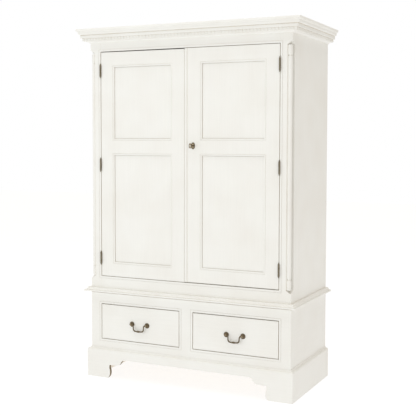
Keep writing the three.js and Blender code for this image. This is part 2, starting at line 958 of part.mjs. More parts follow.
// A leaf plate with tabs to its own knuckles, on the side of the pin given by `away`.
function leafPlate(away, tabs) {
  const near = doorSideGap / 2 - hingeLeafThickness;
  const clear = hingeBarrelRadius + hingeKnuckleGap;
  const depth = hingeBarrelRadius + hingeFaceGap + hingeLeafDepth;
  const half = hingeLeafHeight / 2;
  const plate = (y0, z0, z1) => {
    const [x0, x1] = away > 0 ? [near, near + hingeLeafThickness] : [-near - hingeLeafThickness, -near];
    return toSolid(box([x0 + glueLine / 4, y0, z0], [x1 - glueLine / 4, depth, z1]));
  };
  const pieces = [plate(clear, -half, half)];
  for (const [z0, z1] of tabs) pieces.push(plate(hingePinRadius + 1, z0, z1));
  return wasm.Manifold.union(pieces);
}

function knuckleSolid(z0, z1) {
  return toSolid(
    turned([[0, z0], [hingeBarrelRadius, z0], [hingeBarrelRadius, z1], [0, z1]], smallRoundSides),
  );
}

// The frame leaf carries the two end knuckles, the pin and the finials.
function frameLeaf(side) {
  const half = hingeLeafHeight / 2;
  const low = [-half, -knuckle / 2 - hingeKnuckleGap / 2];
  const high = [knuckle / 2 + hingeKnuckleGap / 2, half];
  const neck = hingeBarrelRadius * 0.55;
  const spindle = toSolid(
    turned(
      [
        [0, -half - finial],
        [neck, -half - finial * 0.6],
        [neck * 0.7, -half - finial * 0.15],
        [hingeBarrelRadius, -half],
        [hingeBarrelRadius, low[1]],
        [hingePinRadius, low[1]],
        [hingePinRadius, high[0]],
        [hingeBarrelRadius, high[0]],
        [hingeBarrelRadius, half],
        [neck * 0.7, half + finial * 0.15],
        [neck, half + finial * 0.6],
        [0, half + finial],
      ],
      smallRoundSides,
    ),
  );
  return toGeometry(spindle.add(leafPlate(side, [low, high])));
}

// The door leaf carries the middle knuckle, which turns on the pin.
function doorLeaf(side) {
  const span = [-knuckle / 2 + hingeKnuckleGap / 2, knuckle / 2 - hingeKnuckleGap / 2];
  const bore = hingePinRadius + hingePinClearance;
  const pinHole = toSolid(
    turned([[0, -knuckle], [bore, -knuckle], [bore, knuckle], [0, knuckle]], smallRoundSides),
  );
  const barrel = knuckleSolid(...span).add(leafPlate(-side, [span]));
  return toGeometry(barrel.subtract(pinHole));
}

for (const [word, side] of sides) {
  for (const [place, z] of hingeHeights) {
    const hinge = group(armoire, `${word}_${place}_hinge`, side * hingeX, hingeY, z);
    add(hinge, `${word}_${place}_hinge_frame_leaf`, frameLeaf(side), antiqueBrass());
    add(hinge, `${word}_${place}_hinge_door_leaf`, doorLeaf(side), antiqueBrass());
  }
}

// ---------------------------------------------------------------- drawers

const drawerMiddle = (drawerInner + drawerOuter) / 2;
const drawerWidth = drawerOuter - drawerInner - 2 * drawerGap;
const drawerHeight = drawerOpeningHeight - 2 * drawerGap;

// An open-topped box behind the drawer front. Its hollow is cut from above.
function drawerBox() {
  const half = (drawerOuter - drawerInner) / 2 - drawerSlideGap;
  const start = drawerFrontThickness + glueLine;
  const low = -drawerGap + drawerSlideGap;
  const outer = box([-half, start, low], [half, start + drawerBoxDepth, low + drawerBoxHeight]);
  const inner = box(
    [-half + drawerBoxWall, start + drawerBoxWall, low + drawerBoxBottom],
    [half - drawerBoxWall, start + drawerBoxDepth - drawerBoxWall, low + drawerBoxHeight + 1],
  );
  return toGeometry(toSolid(outer).subtract(toSolid(inner)));
}

// A domed rose with a post whose end is drilled across for the bail's pivot.
function handleRose() {
  const tip = bailPivotOut + postRadius + 1;
  const body = toSolid(
    turnedForward([
      [0, 0],
      [roseRadius, 0],
      [roseRadius, 1.2],
      [roseRadius - 4, roseThickness],
      [postRadius, roseThickness + 2],
      [postRadius, tip - 2],
      [postRadius - 2, tip],
      [0, tip],
    ]),
  );
  const bore = bailPivotRadius + bailPivotClearance;
  const reach = postRadius + 1;
  const hole = turnedAcross([[0, -reach], [bore, -reach], [bore, reach], [0, reach]], smallRoundSides);
  return toGeometry(body.subtract(toSolid(hole.translate(0, -bailPivotOut, 0))));
}

// The bail: a swan-necked bar that hangs between the posts and swells at the grip.
function bail() {
  const pivotInner = handleCentres / 2 - postRadius - bailPivotClearance * 2;
  const legHalf = bailLegSpacing / 2;
  const corner = 13;
  const path = [
    [-pivotInner, 0],
    [-pivotInner + 4, -0.5],
    [-legHalf - 2, -5],
    [-legHalf, -12],
    [-legHalf, -bailDrop + corner + 2],
    [-legHalf + 4, -bailDrop + 5],
    [-legHalf + corner + 2, -bailDrop],
  ];
  const mirrored = path.map(([x, z]) => [-x, z]).reverse();
  const points = [...path, [0, -bailDrop], ...mirrored];
  const curve = new THREE.CatmullRomCurve3(
    points.map(([x, z]) => new THREE.Vector3(x, 0, z)),
    false,
    "centripetal",
  );
  const sidesOfBar = 10;
  const section = new THREE.Shape();
  for (let i = 0; i < sidesOfBar; i++) {
    const angle = (i / sidesOfBar) * 2 * Math.PI;
    const [x, y] = [bailRadius * Math.cos(angle), bailRadius * Math.sin(angle)];
    if (i === 0) section.moveTo(x, y);
    else section.lineTo(x, y);
  }
  const bar = new THREE.ExtrudeGeometry(section, { extrudePath: curve, steps: 36, bevelEnabled: false });
  let whole = toSolid(bar);
  const grip = turnedAcross(
    [
      [0, -14],
      [bailRadius * 0.9, -14],
      [bailGripRadius, -5],
      [bailGripRadius, 5],
      [bailRadius * 0.9, 14],
      [0, 14],
    ],
    smallRoundSides,
  );
  whole = whole.add(toSolid(grip.translate(0, 0, -bailDrop)));
  for (const side of [-1, 1]) {
    // The pivot pin runs from the end of the bar through the post, with a rivet head outside it.
    const from = pivotInner - 1;
    const outside = handleCentres / 2 + postRadius + bailPivotClearance * 2;
    const pin = turnedAcross(
      [
        [0, from],
        [bailPivotRadius, from],
        [bailPivotRadius, outside],
        [bailPivotRadius + 1, outside],
        [bailPivotRadius + 1, outside + 2],
        [0, outside + 2],
      ].map(([radius, at]) => [radius, at]),
      smallRoundSides,
    );
    if (side < 0) pin.rotateZ(Math.PI);
    whole = whole.add(toSolid(pin));
  }
  return toGeometry(whole);
}

for (const [word, side] of sides) {
  const drawer = group(
    armoire,
    `${word}_drawer`,
    side * drawerMiddle,
    frontY,
    drawerOpeningBottom + drawerGap,
  );
  const half = drawerWidth / 2;
  add(
    drawer,
    `${word}_drawer_front`,
    box([-half, 0, 0], [half, drawerFrontThickness, drawerHeight]),
    paint(),
  );
  add(drawer, `${word}_drawer_box`, drawerBox(), bareWood());

  const handle = group(drawer, `${word}_handle`, 0, -glueLine, drawerHeight / 2);
  for (const [end, endSide] of [["inner", -side], ["outer", side]]) {
    const rose = add(handle, `${word}_handle_${end}_rose`, handleRose(), antiqueBrass());
    rose.position.x = (endSide * handleCentres) / 2;
  }
  const hanging = add(handle, `${word}_handle_bail`, bail(), antiqueBrass());
  hanging.position.y = -bailPivotOut;
}

export default armoire;
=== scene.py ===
# %% [markdown]
# # A painted two-door armoire
#
# This is a tall clothes cupboard: a case with two panelled doors, standing on a base with two
# drawers and cut out bracket feet. Everything outside is painted in warm off-white eggshell, and
# the fittings are aged brass. The hidden boards come ready made from the CAD model. What the eye
# rests on, the mouldings, the doors and the brass, is built again here with the roundings and
# grooves that a plane, a router and a lathe leave.

import json
import math

import bmesh
import bpy
from mathutils import Matrix, Vector


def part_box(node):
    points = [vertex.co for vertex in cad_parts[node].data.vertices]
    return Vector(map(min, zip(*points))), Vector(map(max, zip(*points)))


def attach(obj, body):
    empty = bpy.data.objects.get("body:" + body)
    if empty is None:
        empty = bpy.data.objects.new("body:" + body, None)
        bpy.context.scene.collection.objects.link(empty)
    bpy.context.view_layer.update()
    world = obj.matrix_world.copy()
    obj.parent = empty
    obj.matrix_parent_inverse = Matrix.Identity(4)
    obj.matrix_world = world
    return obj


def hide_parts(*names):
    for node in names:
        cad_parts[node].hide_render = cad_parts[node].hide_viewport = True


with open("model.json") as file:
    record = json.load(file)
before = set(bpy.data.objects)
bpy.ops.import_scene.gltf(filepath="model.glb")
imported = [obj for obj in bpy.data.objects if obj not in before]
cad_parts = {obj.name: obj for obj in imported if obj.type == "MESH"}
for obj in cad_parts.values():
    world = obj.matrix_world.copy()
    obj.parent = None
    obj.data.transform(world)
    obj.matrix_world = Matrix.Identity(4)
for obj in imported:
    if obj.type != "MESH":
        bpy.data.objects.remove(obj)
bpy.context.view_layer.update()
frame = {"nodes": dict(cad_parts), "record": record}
nodes = frame["nodes"]
MM = 0.001

# %% [markdown]
# ## Sizes
#
# A piece that replaces a CAD node has to sit exactly where the node was, so no position is typed in
# twice.

# %% Shared sizes
case_low, case_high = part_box("base_face_frame")
HALF = case_high[0]
FRONT = case_low[1]
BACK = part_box("upper_back_board")[1][1]
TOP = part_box("cornice")[1][2]
CORNICE_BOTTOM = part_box("cornice")[0][2]
WAIST_BOTTOM, WAIST_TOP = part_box("waist_board")[0][2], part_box("waist_board")[1][2]
SKIRT = case_low[2]
OPENING_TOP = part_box("frieze_rail")[0][2]
OPENING_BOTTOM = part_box("rail_below_doors")[1][2]
OPENING_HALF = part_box("corner_post_right")[0][0]
pivots = {j["name"]: j["pos_m"] for j in frame["record"]["behaviour"]["joints"] if "pos_m" in j}
print("case half width %.1f mm, front at %.1f mm" % (HALF / MM, FRONT / MM))

# %% [markdown]
# ## The camera
#
# The viewpoint stands to the right of the front and a little above the middle, with a lens of
# about 72 mm, so that the uprights stay almost parallel. A small shift of the lens centres the piece
# in the frame without tilting the camera.

# %% Camera
YAW, PITCH, ROLL = math.radians(24.81), math.radians(-2.93), math.radians(0.18)
ahead = Vector((-math.sin(YAW) * math.cos(PITCH), math.cos(YAW) * math.cos(PITCH), math.sin(PITCH)))
level = Vector((math.cos(YAW), math.sin(YAW), 0))
over = level.cross(ahead)
right = level * math.cos(ROLL) + over * math.sin(ROLL)
over = over * math.cos(ROLL) - level * math.sin(ROLL)

camera = bpy.data.objects.new("camera", bpy.data.cameras.new("camera"))
camera.data.sensor_width = 36
camera.data.lens = 72.06
camera.data.shift_x, camera.data.shift_y = -0.0454, -0.0579
camera.data.clip_end = 100
turn = Matrix((right, over, -ahead)).transposed().to_4x4()
camera.matrix_world = Matrix.Translation((2.113, -4.2938, 1.3655)) @ turn
bpy.context.scene.collection.objects.link(camera)
bpy.context.scene.camera = camera
print("camera at", tuple(round(v, 3) for v in camera.location))

# %% [markdown]
# ## Adding nodes
#
# Every finish below is a small network of shader nodes. One helper adds a node of any kind, sets
# its values and links its inputs, so that each material reads as a short list of steps.

# %% Node helper
def srgb(text):
    """Turns a hex colour into the linear values that shaders work with."""
    channels = [int(text[i:i + 2], 16) / 255 for i in (1, 3, 5)]
    linear = [c / 12.92 if c <= 0.04045 else ((c + 0.055) / 1.055) ** 2.4 for c in channels]
    return (*linear, 1.0)


def put(tree, kind, values=(), **settings):
    """Adds a node. A value that is a socket is linked, and any other is set."""
    node = tree.nodes.new("ShaderNode" + kind)
    for name, value in settings.items():
        setattr(node, name, value)
    for name, value in dict(values).items():
        if isinstance(value, bpy.types.NodeSocket):
            tree.links.new(value, node.inputs[name])
        else:
            node.inputs[name].default_value = value
    return node


def ramp(node, *stops):
    """Sets the stops of a colour ramp, each a place and a grey or a colour."""
    marks = node.color_ramp.elements
    while len(marks) < len(stops):
        marks.new(0.5)
    for mark, (place, colour) in zip(marks, stops):
        mark.position = place
        mark.color = colour if isinstance(colour, tuple) else (colour, colour, colour, 1)
    return node


def new_material(name):
    made = bpy.data.materials.new(name)
    made.use_nodes = True
    made.node_tree.nodes.clear()
    return made, made.node_tree


# %% [markdown]
# ## Eggshell paint on timber
#
# The real finish is a water-based eggshell brushed and then sprayed over primed timber. It gives
# the eye a soft even sheen and a very faint drag of bristles along the grain. A warmer, darker tone
# is also painted into the quirks and gaps through an occlusion mask: it is painted shade, with a
# little of the dirt that gathers where polish collects. The drag is stretched noise: bristle lines
# are about 1 mm apart on the real piece and are drawn 3 mm apart so that they show at all. Three
# versions differ only in which way the grain runs. A fourth paints the sawn edge of the feet dark
# brown, brushed in the same way, as painted shade for the shade that falls on that edge.

# %% Painted timber
PAINT = {"body": "#F5F4F0", "shade": "#F2F0EB", "crevice": "#CDBD9A"}
# Dark brown tones for the sawn edge of the feet: painted shade that stands for the shade falling on
# that edge.
SAWN_EDGE_SHADE_TONES = {"body": "#8A7A5E", "shade": "#7A6A50", "crevice": "#5C4E3A"}


def eggshell(name, grain, tones=PAINT):
    """A brushed coat whose bristle marks run along the grain axis, 0, 1 or 2."""
    made, tree = new_material(name)
    place = put(tree, "TexCoord").outputs["Object"]
    across = 1 / (3 * MM)
    drag = [across, across, across]
    drag[grain] = across / 60
    streaks = put(tree, "Mapping", {"Vector": place, "Scale": drag})
    bristle = put(tree, "TexNoise", {"Vector": streaks.outputs[0], "Scale": 1.0, "Detail": 3.0,
                                     "Roughness": 0.6})
    cloud = put(tree, "TexNoise", {"Vector": place, "Scale": 1 / 0.22, "Detail": 2.0})
    peel = put(tree, "TexNoise", {"Vector": place, "Scale": 1 / (2.5 * MM), "Detail": 1.0})
    tone = ramp(put(tree, "ValToRGB", {"Fac": cloud.outputs["Fac"]}),
                (0.3, srgb(tones["shade"])), (0.62, srgb(tones["body"])))
    lines = ramp(put(tree, "ValToRGB", {"Fac": bristle.outputs["Fac"]}), (0.3, 0.972), (0.65, 1.0))
    # Mix has sockets of several types under the same names, so the colour ones are set by place.
    coat = put(tree, "Mix", {0: 1.0, 6: tone.outputs[0], 7: lines.outputs[0]},
               data_type="RGBA", blend_type="MULTIPLY")
    # Painted shade: occlusion blends the quirks and gaps towards the crevice tone, which also stands
    # for polish dirt there.
    near = put(tree, "AmbientOcclusion", {"Distance": 7 * MM}, samples=6)
    painted_shade_and_grime = ramp(put(tree, "ValToRGB", {"Fac": near.outputs["AO"]}), (0.1, 1.0), (0.5, 0.0))
    colour = put(tree, "Mix", {0: painted_shade_and_grime.outputs[0], 6: coat.outputs[2], 7: srgb(tones["crevice"])},
                 data_type="RGBA")
    height = put(tree, "Math", {0: bristle.outputs["Fac"], 1: peel.outputs["Fac"]}, operation="ADD")
    bump = put(tree, "Bump", {"Height": height.outputs[0], "Strength": 0.12, "Distance": 0.4 * MM})
    gloss = put(tree, "MapRange", {"Value": bristle.outputs["Fac"], "To Min": 0.42, "To Max": 0.56})
    shader = put(tree, "BsdfPrincipled", {"Base Color": colour.outputs[2], "IOR": 1.46,
                                          "Roughness": gloss.outputs[0], "Normal": bump.outputs[0]})
    put(tree, "OutputMaterial", {"Surface": shader.outputs[0]})
    return made


paint_upright = eggshell("eggshell_paint_upright", 2)
paint_across = eggshell("eggshell_paint_across", 0)
paint_deep = eggshell("eggshell_paint_front_to_back", 1)
sawn_edge_shade_paint = eggshell("sawn_edge_painted_shade", 1, SAWN_EDGE_SHADE_TONES)
print("paint", len(paint_upright.node_tree.nodes), "nodes each")

# %% [markdown]
# ## Drawer lining, aged brass and nickel
#
# The drawer boxes and the deck they run on are bare pine: pale, with long soft growth bands about
# 24 mm apart and fine darker pores. The handles, hinges and key are brass that has been browned
# and then rubbed, so it is dark in the hollows and lighter where fingers and polish reach. A
# paler mix is kept for the spots that are rubbed most, and a duller one for the hinges, which
# nobody polishes. The hanging rail is bright nickel, slightly clouded.

# %% Bare pine
def pine(name, grain):
    made, tree = new_material(name)
    place = put(tree, "TexCoord").outputs["Object"]
    stretch = [1.0, 1.0, 1.0]
    stretch[grain] = 0.06
    board = put(tree, "Mapping", {"Vector": place, "Scale": stretch})
    sway = put(tree, "TexNoise", {"Vector": board.outputs[0], "Scale": 14.0, "Detail": 2.0})
    push = put(tree, "VectorMath", {0: sway.outputs["Color"], 1: (0.05, 0.05, 0.05)},
               operation="MULTIPLY")
    bent = put(tree, "VectorMath", {0: board.outputs[0], 1: push.outputs[0]}, operation="ADD")
    # The bands of a wave texture lie 2 pi / 10 / scale apart, which is 24 mm here.
    bands = put(tree, "TexWave", {"Vector": bent.outputs[0], "Scale": 26.455,
                                  "Distortion": 3.0, "Detail": 2.0},
                bands_direction="DIAGONAL")
    fine = put(tree, "Mapping", {"Vector": board.outputs[0], "Scale": (900, 900, 900)})
    pores = put(tree, "TexNoise", {"Vector": fine.outputs[0], "Scale": 1.0, "Detail": 2.0})
    wood = ramp(put(tree, "ValToRGB", {"Fac": bands.outputs["Fac"]}),
                (0.0, srgb("#E3C99C")), (0.7, srgb("#D8B985")), (1.0, srgb("#C39C66")))
    dark = ramp(put(tree, "ValToRGB", {"Fac": pores.outputs["Fac"]}), (0.35, 0.86), (0.6, 1.0))
    colour = put(tree, "Mix", {0: 1.0, 6: wood.outputs[0], 7: dark.outputs[0]},
                 data_type="RGBA", blend_type="MULTIPLY")
    bump = put(tree, "Bump", {"Height": pores.outputs["Fac"], "Strength": 0.2,
                              "Distance": 0.2 * MM})
    shader = put(tree, "BsdfPrincipled", {"Base Color": colour.outputs[2], "Roughness": 0.62,
                                          "IOR": 1.5, "Normal": bump.outputs[0]})
    put(tree, "OutputMaterial", {"Surface": shader.outputs[0]})
    return made


pine_across = pine("bare_pine_across", 0)
pine_deep = pine("bare_pine_front_to_back", 1)

# %% Metals
def worn_metal(name, hollow, face, low, high, grit):
    """A rubbed metal: hollow and face are its darker and lighter tones, grit its patch size."""
    made, tree = new_material(name)
    place = put(tree, "TexCoord").outputs["Object"]
    patch = put(tree, "TexNoise", {"Vector": place, "Scale": 1 / grit, "Detail": 4.0,
                                   "Roughness": 0.65})
    near = put(tree, "AmbientOcclusion", {"Distance": 4 * MM}, samples=6)
    reach = put(tree, "Math", {0: patch.outputs["Fac"], 1: near.outputs["AO"]},
                operation="MULTIPLY")
    tone = ramp(put(tree, "ValToRGB", {"Fac": reach.outputs[0]}), (0.2, srgb(hollow)),
                (0.62, srgb(face)))
    gloss = put(tree, "MapRange", {"Value": patch.outputs["Fac"], "To Min": low, "To Max": high})
    bump = put(tree, "Bump", {"Height": patch.outputs["Fac"], "Strength": 0.15,
                              "Distance": 0.2 * MM})
    shader = put(tree, "BsdfPrincipled", {"Base Color": tone.outputs[0], "Metallic": 1.0,
                                          "Roughness": gloss.outputs[0],
                                          "Normal": bump.outputs[0]})
    put(tree, "OutputMaterial", {"Surface": shader.outputs[0]})
    return made


aged_brass = worn_metal("aged_brass", "#463D31", "#7F715C", 0.32, 0.5, 3 * MM)
rubbed_brass = worn_metal("rubbed_brass", "#6B5C48", "#B3A286", 0.3, 0.45, 4 * MM)
dull_brass = worn_metal("dull_brass", "#565043", "#908673", 0.36, 0.5, 3 * MM)
nickel = worn_metal("drawn_nickel", "#B9B7B2", "#D0CECA", 0.2, 0.32, 8 * MM)
print("materials", len(bpy.data.materials))

# %% [markdown]
# ## Making pieces
#
# Every piece goes through one function: it turns a bmesh into an object, shades it smooth but
# keeps corners sharper than a given angle, and ties it to the CAD body it moves with. A weighted
# normal modifier keeps the wide flats flat beside a narrow rounded edge.

# %% Piece helper
def piece(name, mesh, material, body, replaces=(), angle=40):
    bmesh.ops.recalc_face_normals(mesh, faces=mesh.faces)
    data = bpy.data.meshes.new(name)
    mesh.to_mesh(data)
    mesh.free()
    data.materials.append(material)
    data.shade_smooth()
    data.set_sharp_from_angle(angle=math.radians(angle))
    made = bpy.data.objects.new(name, data)
    bpy.context.scene.collection.objects.link(made)
    flats = made.modifiers.new("flat_faces", "WEIGHTED_NORMAL")
    flats.keep_sharp = True
    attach(made, body)
    if replaces:
        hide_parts(*replaces)
    return made


def refinish(made, material, chosen):
    """Gives a second finish to the faces chosen by a test of their centre."""
    made.data.materials.append(material)
    for face in made.data.polygons:
        if chosen(face.center):
            face.material_index = 1


def add_box(mesh, low, high):
    """A plain box between two corners. Returns its vertices."""
    low, high = Vector(low), Vector(high)
    size = Matrix.Diagonal((*(high - low), 1))
    return bmesh.ops.create_cube(mesh, size=1, matrix=Matrix.Translation((low + high) / 2) @ size)[
        "verts"]


def ease(mesh, width, segments):
    """Rounds every edge that turns by more than 30 degrees, as sandpaper does."""
    corners = [e for e in mesh.edges
               if len(e.link_faces) == 2 and e.calc_face_angle(0) > math.radians(30)]
    bmesh.ops.bevel(mesh, geom=corners, offset=width, segments=segments, profile=0.5,
                    affect="EDGES", clamp_overlap=True)


def skin(mesh, rows, closed=False):
    """Joins each row of vertices to the next by a band of faces, and the last to the first."""
    for one, two in zip(rows, rows[1:] + rows[:1] if closed else rows[1:]):
        for i in range(len(one)):
            j = (i + 1) % len(one)
            mesh.faces.new((one[i], one[j], two[j], two[i]))


def plate(mesh, near, far):
    """A plate between two outlines that have the same number of vertices."""
    mesh.faces.new(near)
    mesh.faces.new(far[::-1])
    skin(mesh, [near, far])


def carve(mesh, *cutters):
    """Cuts bmeshes out of a bmesh with Blender's exact boolean and returns the result."""
    target = bpy.data.objects.new("blank", bpy.data.meshes.new("blank"))
    mesh.to_mesh(target.data)
    mesh.free()
    bpy.context.scene.collection.objects.link(target)
    tools = []
    for cutter in cutters:
        bmesh.ops.recalc_face_normals(cutter, faces=cutter.faces)
        tool = bpy.data.objects.new("cutter", bpy.data.meshes.new("cutter"))
        cutter.to_mesh(tool.data)
        cutter.free()
        bpy.context.scene.collection.objects.link(tool)
        step = target.modifiers.new("cut", "BOOLEAN")
        step.operation, step.solver, step.object = "DIFFERENCE", "EXACT", tool
        tools.append(tool)
    bpy.context.view_layer.update()
    done = target.evaluated_get(bpy.context.evaluated_depsgraph_get())
    result = bmesh.new()
    result.from_mesh(done.to_mesh())
    done.to_mesh_clear()
    for used in [target, *tools]:
        data = used.data
        bpy.data.objects.remove(used)
        bpy.data.meshes.remove(data)
    bmesh.ops.remove_doubles(result, verts=result.verts, dist=0.00001)
    bmesh.ops.dissolve_limit(result, angle_limit=math.radians(0.5), verts=result.verts,
                             edges=result.edges)
    return result


def lathe(profile, centre=(0, 0, 0), axis="Z", sides=32, mesh=None):
    """Turns [radius, height] points about an axis. A profile that returns to its start is a tube."""
    mesh = mesh or bmesh.new()
    turn = {"Z": Matrix(), "Y": Matrix.Rotation(math.pi / 2, 4, "X"),
            "X": Matrix.Rotation(math.pi / 2, 4, "Y")}[axis]
    rings = []
    tube = profile[0] == profile[-1]
    for radius, height in profile[:-1] if tube else profile:
        if radius < 1e-7:
            ring = [mesh.verts.new(Vector((0, 0, height)))]
        else:
            ring = [mesh.verts.new(Vector((radius * math.cos(a), radius * math.sin(a), height)))
                    for a in (2 * math.pi * i / sides for i in range(sides))]
        rings.append(ring)
    for one, two in zip(rings, rings[1:] + rings[:1] if tube else rings[1:]):
        for i in range(sides):
            j = (i + 1) % sides
            corners = [one[i % len(one)], one[j % len(one)], two[j % len(two)], two[i % len(two)]]
            corners = list(dict.fromkeys(corners))
            if len(corners) > 2:
                mesh.faces.new(corners)
    for ring, last in ((rings[0], False), (rings[-1], True)):
        if len(ring) > 1 and not tube:
            mesh.faces.new(ring if last else ring[::-1])
    place = Matrix.Translation(centre) @ turn
    bmesh.ops.transform(mesh, matrix=place, verts=[v for ring in rings for v in ring])
    return mesh


def arc(centre, radius, start, end, steps):
    """Points on part of a circle, angles in degrees."""
    (cx, cy), points = centre, []
    for i in range(steps + 1):
        a = math.radians(start + (end - start) * i / steps)
        points.append((cx + radius * math.cos(a), cy + radius * math.sin(a)))
    return points


print("helpers ready")

# %% [markdown]
# ## Mouldings that run round the case
#
# The cornice, the waist and the plinth are long sticks of moulding, mitred at the two front
# corners. One way to make them is a curve with a bevel profile, but its corners bulge. Instead we
# take the profile as points of (overhang, height) and place each point's line round the case: out
# on the left, along the front and back on the right. The mitres then come out true by themselves.
# A curve in the profile is a quarter ellipse between two points, hollow or round.

# %% Three-sided sweep
def hollow(start, end, steps=7):
    """Concave quarter curve, points after start up to end."""
    (a, b), (c, d) = start, end
    turns = [math.radians(90 * i / steps) for i in range(1, steps + 1)]
    return [(a + (c - a) * (1 - math.cos(t)), b + (d - b) * math.sin(t)) for t in turns]


def full(start, end, steps=7):
    """Convex quarter curve, points after start up to end."""
    (a, b), (c, d) = start, end
    turns = [math.radians(90 * i / steps) for i in range(1, steps + 1)]
    return [(a + (c - a) * math.sin(t), b + (d - b) * (1 - math.cos(t))) for t in turns]


def round_the_case(profile, slab):
    """Sweeps (overhang, height) points in mm round three sides, as a ring or as a whole board."""
    mesh = bmesh.new()
    rows = []
    for overhang, height in profile:
        x, y, z = HALF + overhang * MM, FRONT - overhang * MM, height * MM
        rows.append([mesh.verts.new(p) for p in
                     ((-x, BACK, z), (-x, y, z), (x, y, z), (x, BACK, z))])
    pairs = list(zip(rows, rows[1:])) + ([] if slab else [(rows[-1], rows[0])])
    for low, high in pairs:
        for i in range(3):
            mesh.faces.new((low[i], low[i + 1], high[i + 1], high[i]))
    if slab:
        mesh.faces.new(rows[0][::-1])
        mesh.faces.new(rows[-1])
        mesh.faces.new([r[0] for r in rows] + [r[3] for r in reversed(rows)])
    else:
        mesh.faces.new([r[0] for r in rows])
        mesh.faces.new([r[3] for r in reversed(rows)])
    return mesh


# %% [markdown]
# ## Cornice
#
# From the bottom: a small bed mould hollows outwards, a flat band carries the dentils, the corona
# drops in front of them, and the crown curves out, first round and then hollow, to the top fillet.
# An undercut 2 mm deep parts the corona from the crown with a dark line.
# The dentils are small blocks, 11 mm wide on a 20 mm pitch, so they are made as blocks with eased
# arrises rather than drawn as a texture: their shadows are what makes the row read.

# %% Cornice and dentils
low, high = CORNICE_BOTTOM / MM, TOP / MM
NEST = 0.2
BAND, CORONA, CROWN = 30, 42, 61
bed, bed_top = (6, low + 0.8), (24, low + 9)
crown_low, crown_mid, crown_high = (46.5, high - 32), (52, high - 22), (55.5, high - 14)
cornice_profile = [
    (NEST, low), (5, low), bed, *hollow(bed, bed_top), (25.5, low + 9), (25.5, low + 10),
    (BAND, low + 10), (BAND, low + 25.5), (CORONA - 0.8, low + 25.5), (CORONA, low + 26.5),
    (CORONA, high - 36), (CORONA - 2, high - 35), (CORONA - 2, high - 33.5), (46, high - 33.2),
    crown_low, *full(crown_low, crown_mid), *hollow(crown_mid, crown_high), (55.5, high - 12),
    (CROWN - 0.8, high - 12), (CROWN, high - 11.2),
    (CROWN, high - 0.8), (CROWN - 0.8, high), (NEST, high)]
piece("cornice_moulding", round_the_case(cornice_profile, False), paint_across, "case",
      ["cornice"], angle=28)

DENTIL_WIDTH, DENTIL_PITCH, DENTIL_OUT = 11 * MM, 20 * MM, 33.5 * MM
row = bmesh.new()
z0, z1 = (low + 11) * MM, (low + 25.2) * MM
tip, root = DENTIL_OUT, (BAND - 0.5) * MM
run = 2 * (HALF + tip) - DENTIL_WIDTH
count = round(run / DENTIL_PITCH)
for i in range(count + 1):
    x = -HALF - tip + run * i / count
    add_box(row, (x, FRONT - tip, z0), (x + DENTIL_WIDTH, FRONT - root, z1))
run = BACK - FRONT + tip - DENTIL_WIDTH
side_count = round(run / DENTIL_PITCH)
for side in (-1, 1):
    for i in range(1, side_count + 1):
        y = FRONT - tip + run * i / side_count
        add_box(row, (side * (HALF + root), y, z0), (side * (HALF + tip), y + DENTIL_WIDTH, z1))
bmesh.ops.recalc_face_normals(row, faces=row.faces)
ease(row, 0.6 * MM, segments=1)
piece("dentil_row", row, paint_across, "case")
print("dentils", count + 1, "on the front and", side_count, "on each side")

# %% [markdown]
# ## Waist board and plinth
#
# The waist board shows as a long hollow that falls to a low round nose, and it is one board right
# across, so its sweep is closed at top and bottom. The plinth is a ring with a small ogee on its
# top edge. Its front is then sawn to the outline of the bracket feet: an inner edge that bellies
# out towards the middle, a short level step, and an ogee that rises to the straight skirt. The cut
# is a boolean with the outline extruded through the board, which keeps the sawn edge square as a
# saw does. That edge is then painted dark brown as painted shade, for the shade that falls on it
# under the feet.

# %% Waist board
low, high = WAIST_BOTTOM / MM, WAIST_TOP / MM
NOSE = 33
brow, ledge = (17, high - 2.5), (NOSE - 4, high - 13)
nose = arc((NOSE - 5, high - 18), 5, -80, 80, steps=8)
waist_profile = [(0, low), (4, low), (24, high - 24.2), *nose, (NOSE - 3, high - 13),
                 *reversed(hollow(brow, ledge)[:-1]), brow, (15, high), (0, high)]
piece("waist_moulding", round_the_case(waist_profile, True), paint_across, "case",
      ["waist_board"], angle=28)

# %% Plinth with its bracket feet
def bezier(a, b, c, d, steps=10):
    """Points of a cubic curve after its start."""
    made = []
    for i in range(1, steps + 1):
        t = i / steps
        u = 1 - t
        made.append(tuple(u ** 3 * a[k] + 3 * u * u * t * b[k] + 3 * u * t * t * c[k] + t ** 3 * d[k]
                          for k in (0, 1)))
    return made


PLINTH = 18
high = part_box("plinth")[1][2] / MM
bevel, middle, lip = (PLINTH, high - 20), (PLINTH * 0.55, high - 9), (2, high - 2)
plinth_profile = [(NEST, 0), (PLINTH, 0), bevel, *reversed(full(middle, bevel)[:-1]), middle,
                  *reversed(hollow(lip, middle)[:-1]), lip, (2, high), (NEST, high)]

foot_end = HALF / MM + PLINTH
skirt = SKIRT / MM
FOOT_WIDE, STEP_IN, STEP_OUT, STEP_HIGH = 135, 150, 198, 77
foot = [(FOOT_WIDE, -2), (FOOT_WIDE, 0),
        *bezier((FOOT_WIDE, 0), (156, 12), (155, 38), (148, 59)), (148, 68),
        (STEP_IN, STEP_HIGH), (STEP_OUT, STEP_HIGH),
        *bezier((STEP_OUT, STEP_HIGH), (231, STEP_HIGH + 4), (221, skirt), (249, skirt))]
right_edge = [(foot_end - d, z) for d, z in foot]
outline = right_edge + [(-x, z) for x, z in reversed(right_edge)]


between_feet = bmesh.new()
plate(between_feet, *([between_feet.verts.new((x * MM, y, z * MM)) for x, z in outline]
                      for y in (FRONT - 30 * MM, FRONT + 5 * MM)))
plinth = carve(round_the_case(plinth_profile, False), between_feet)
made = piece("plinth_and_feet", plinth, paint_across, "case", ["plinth"], angle=28)


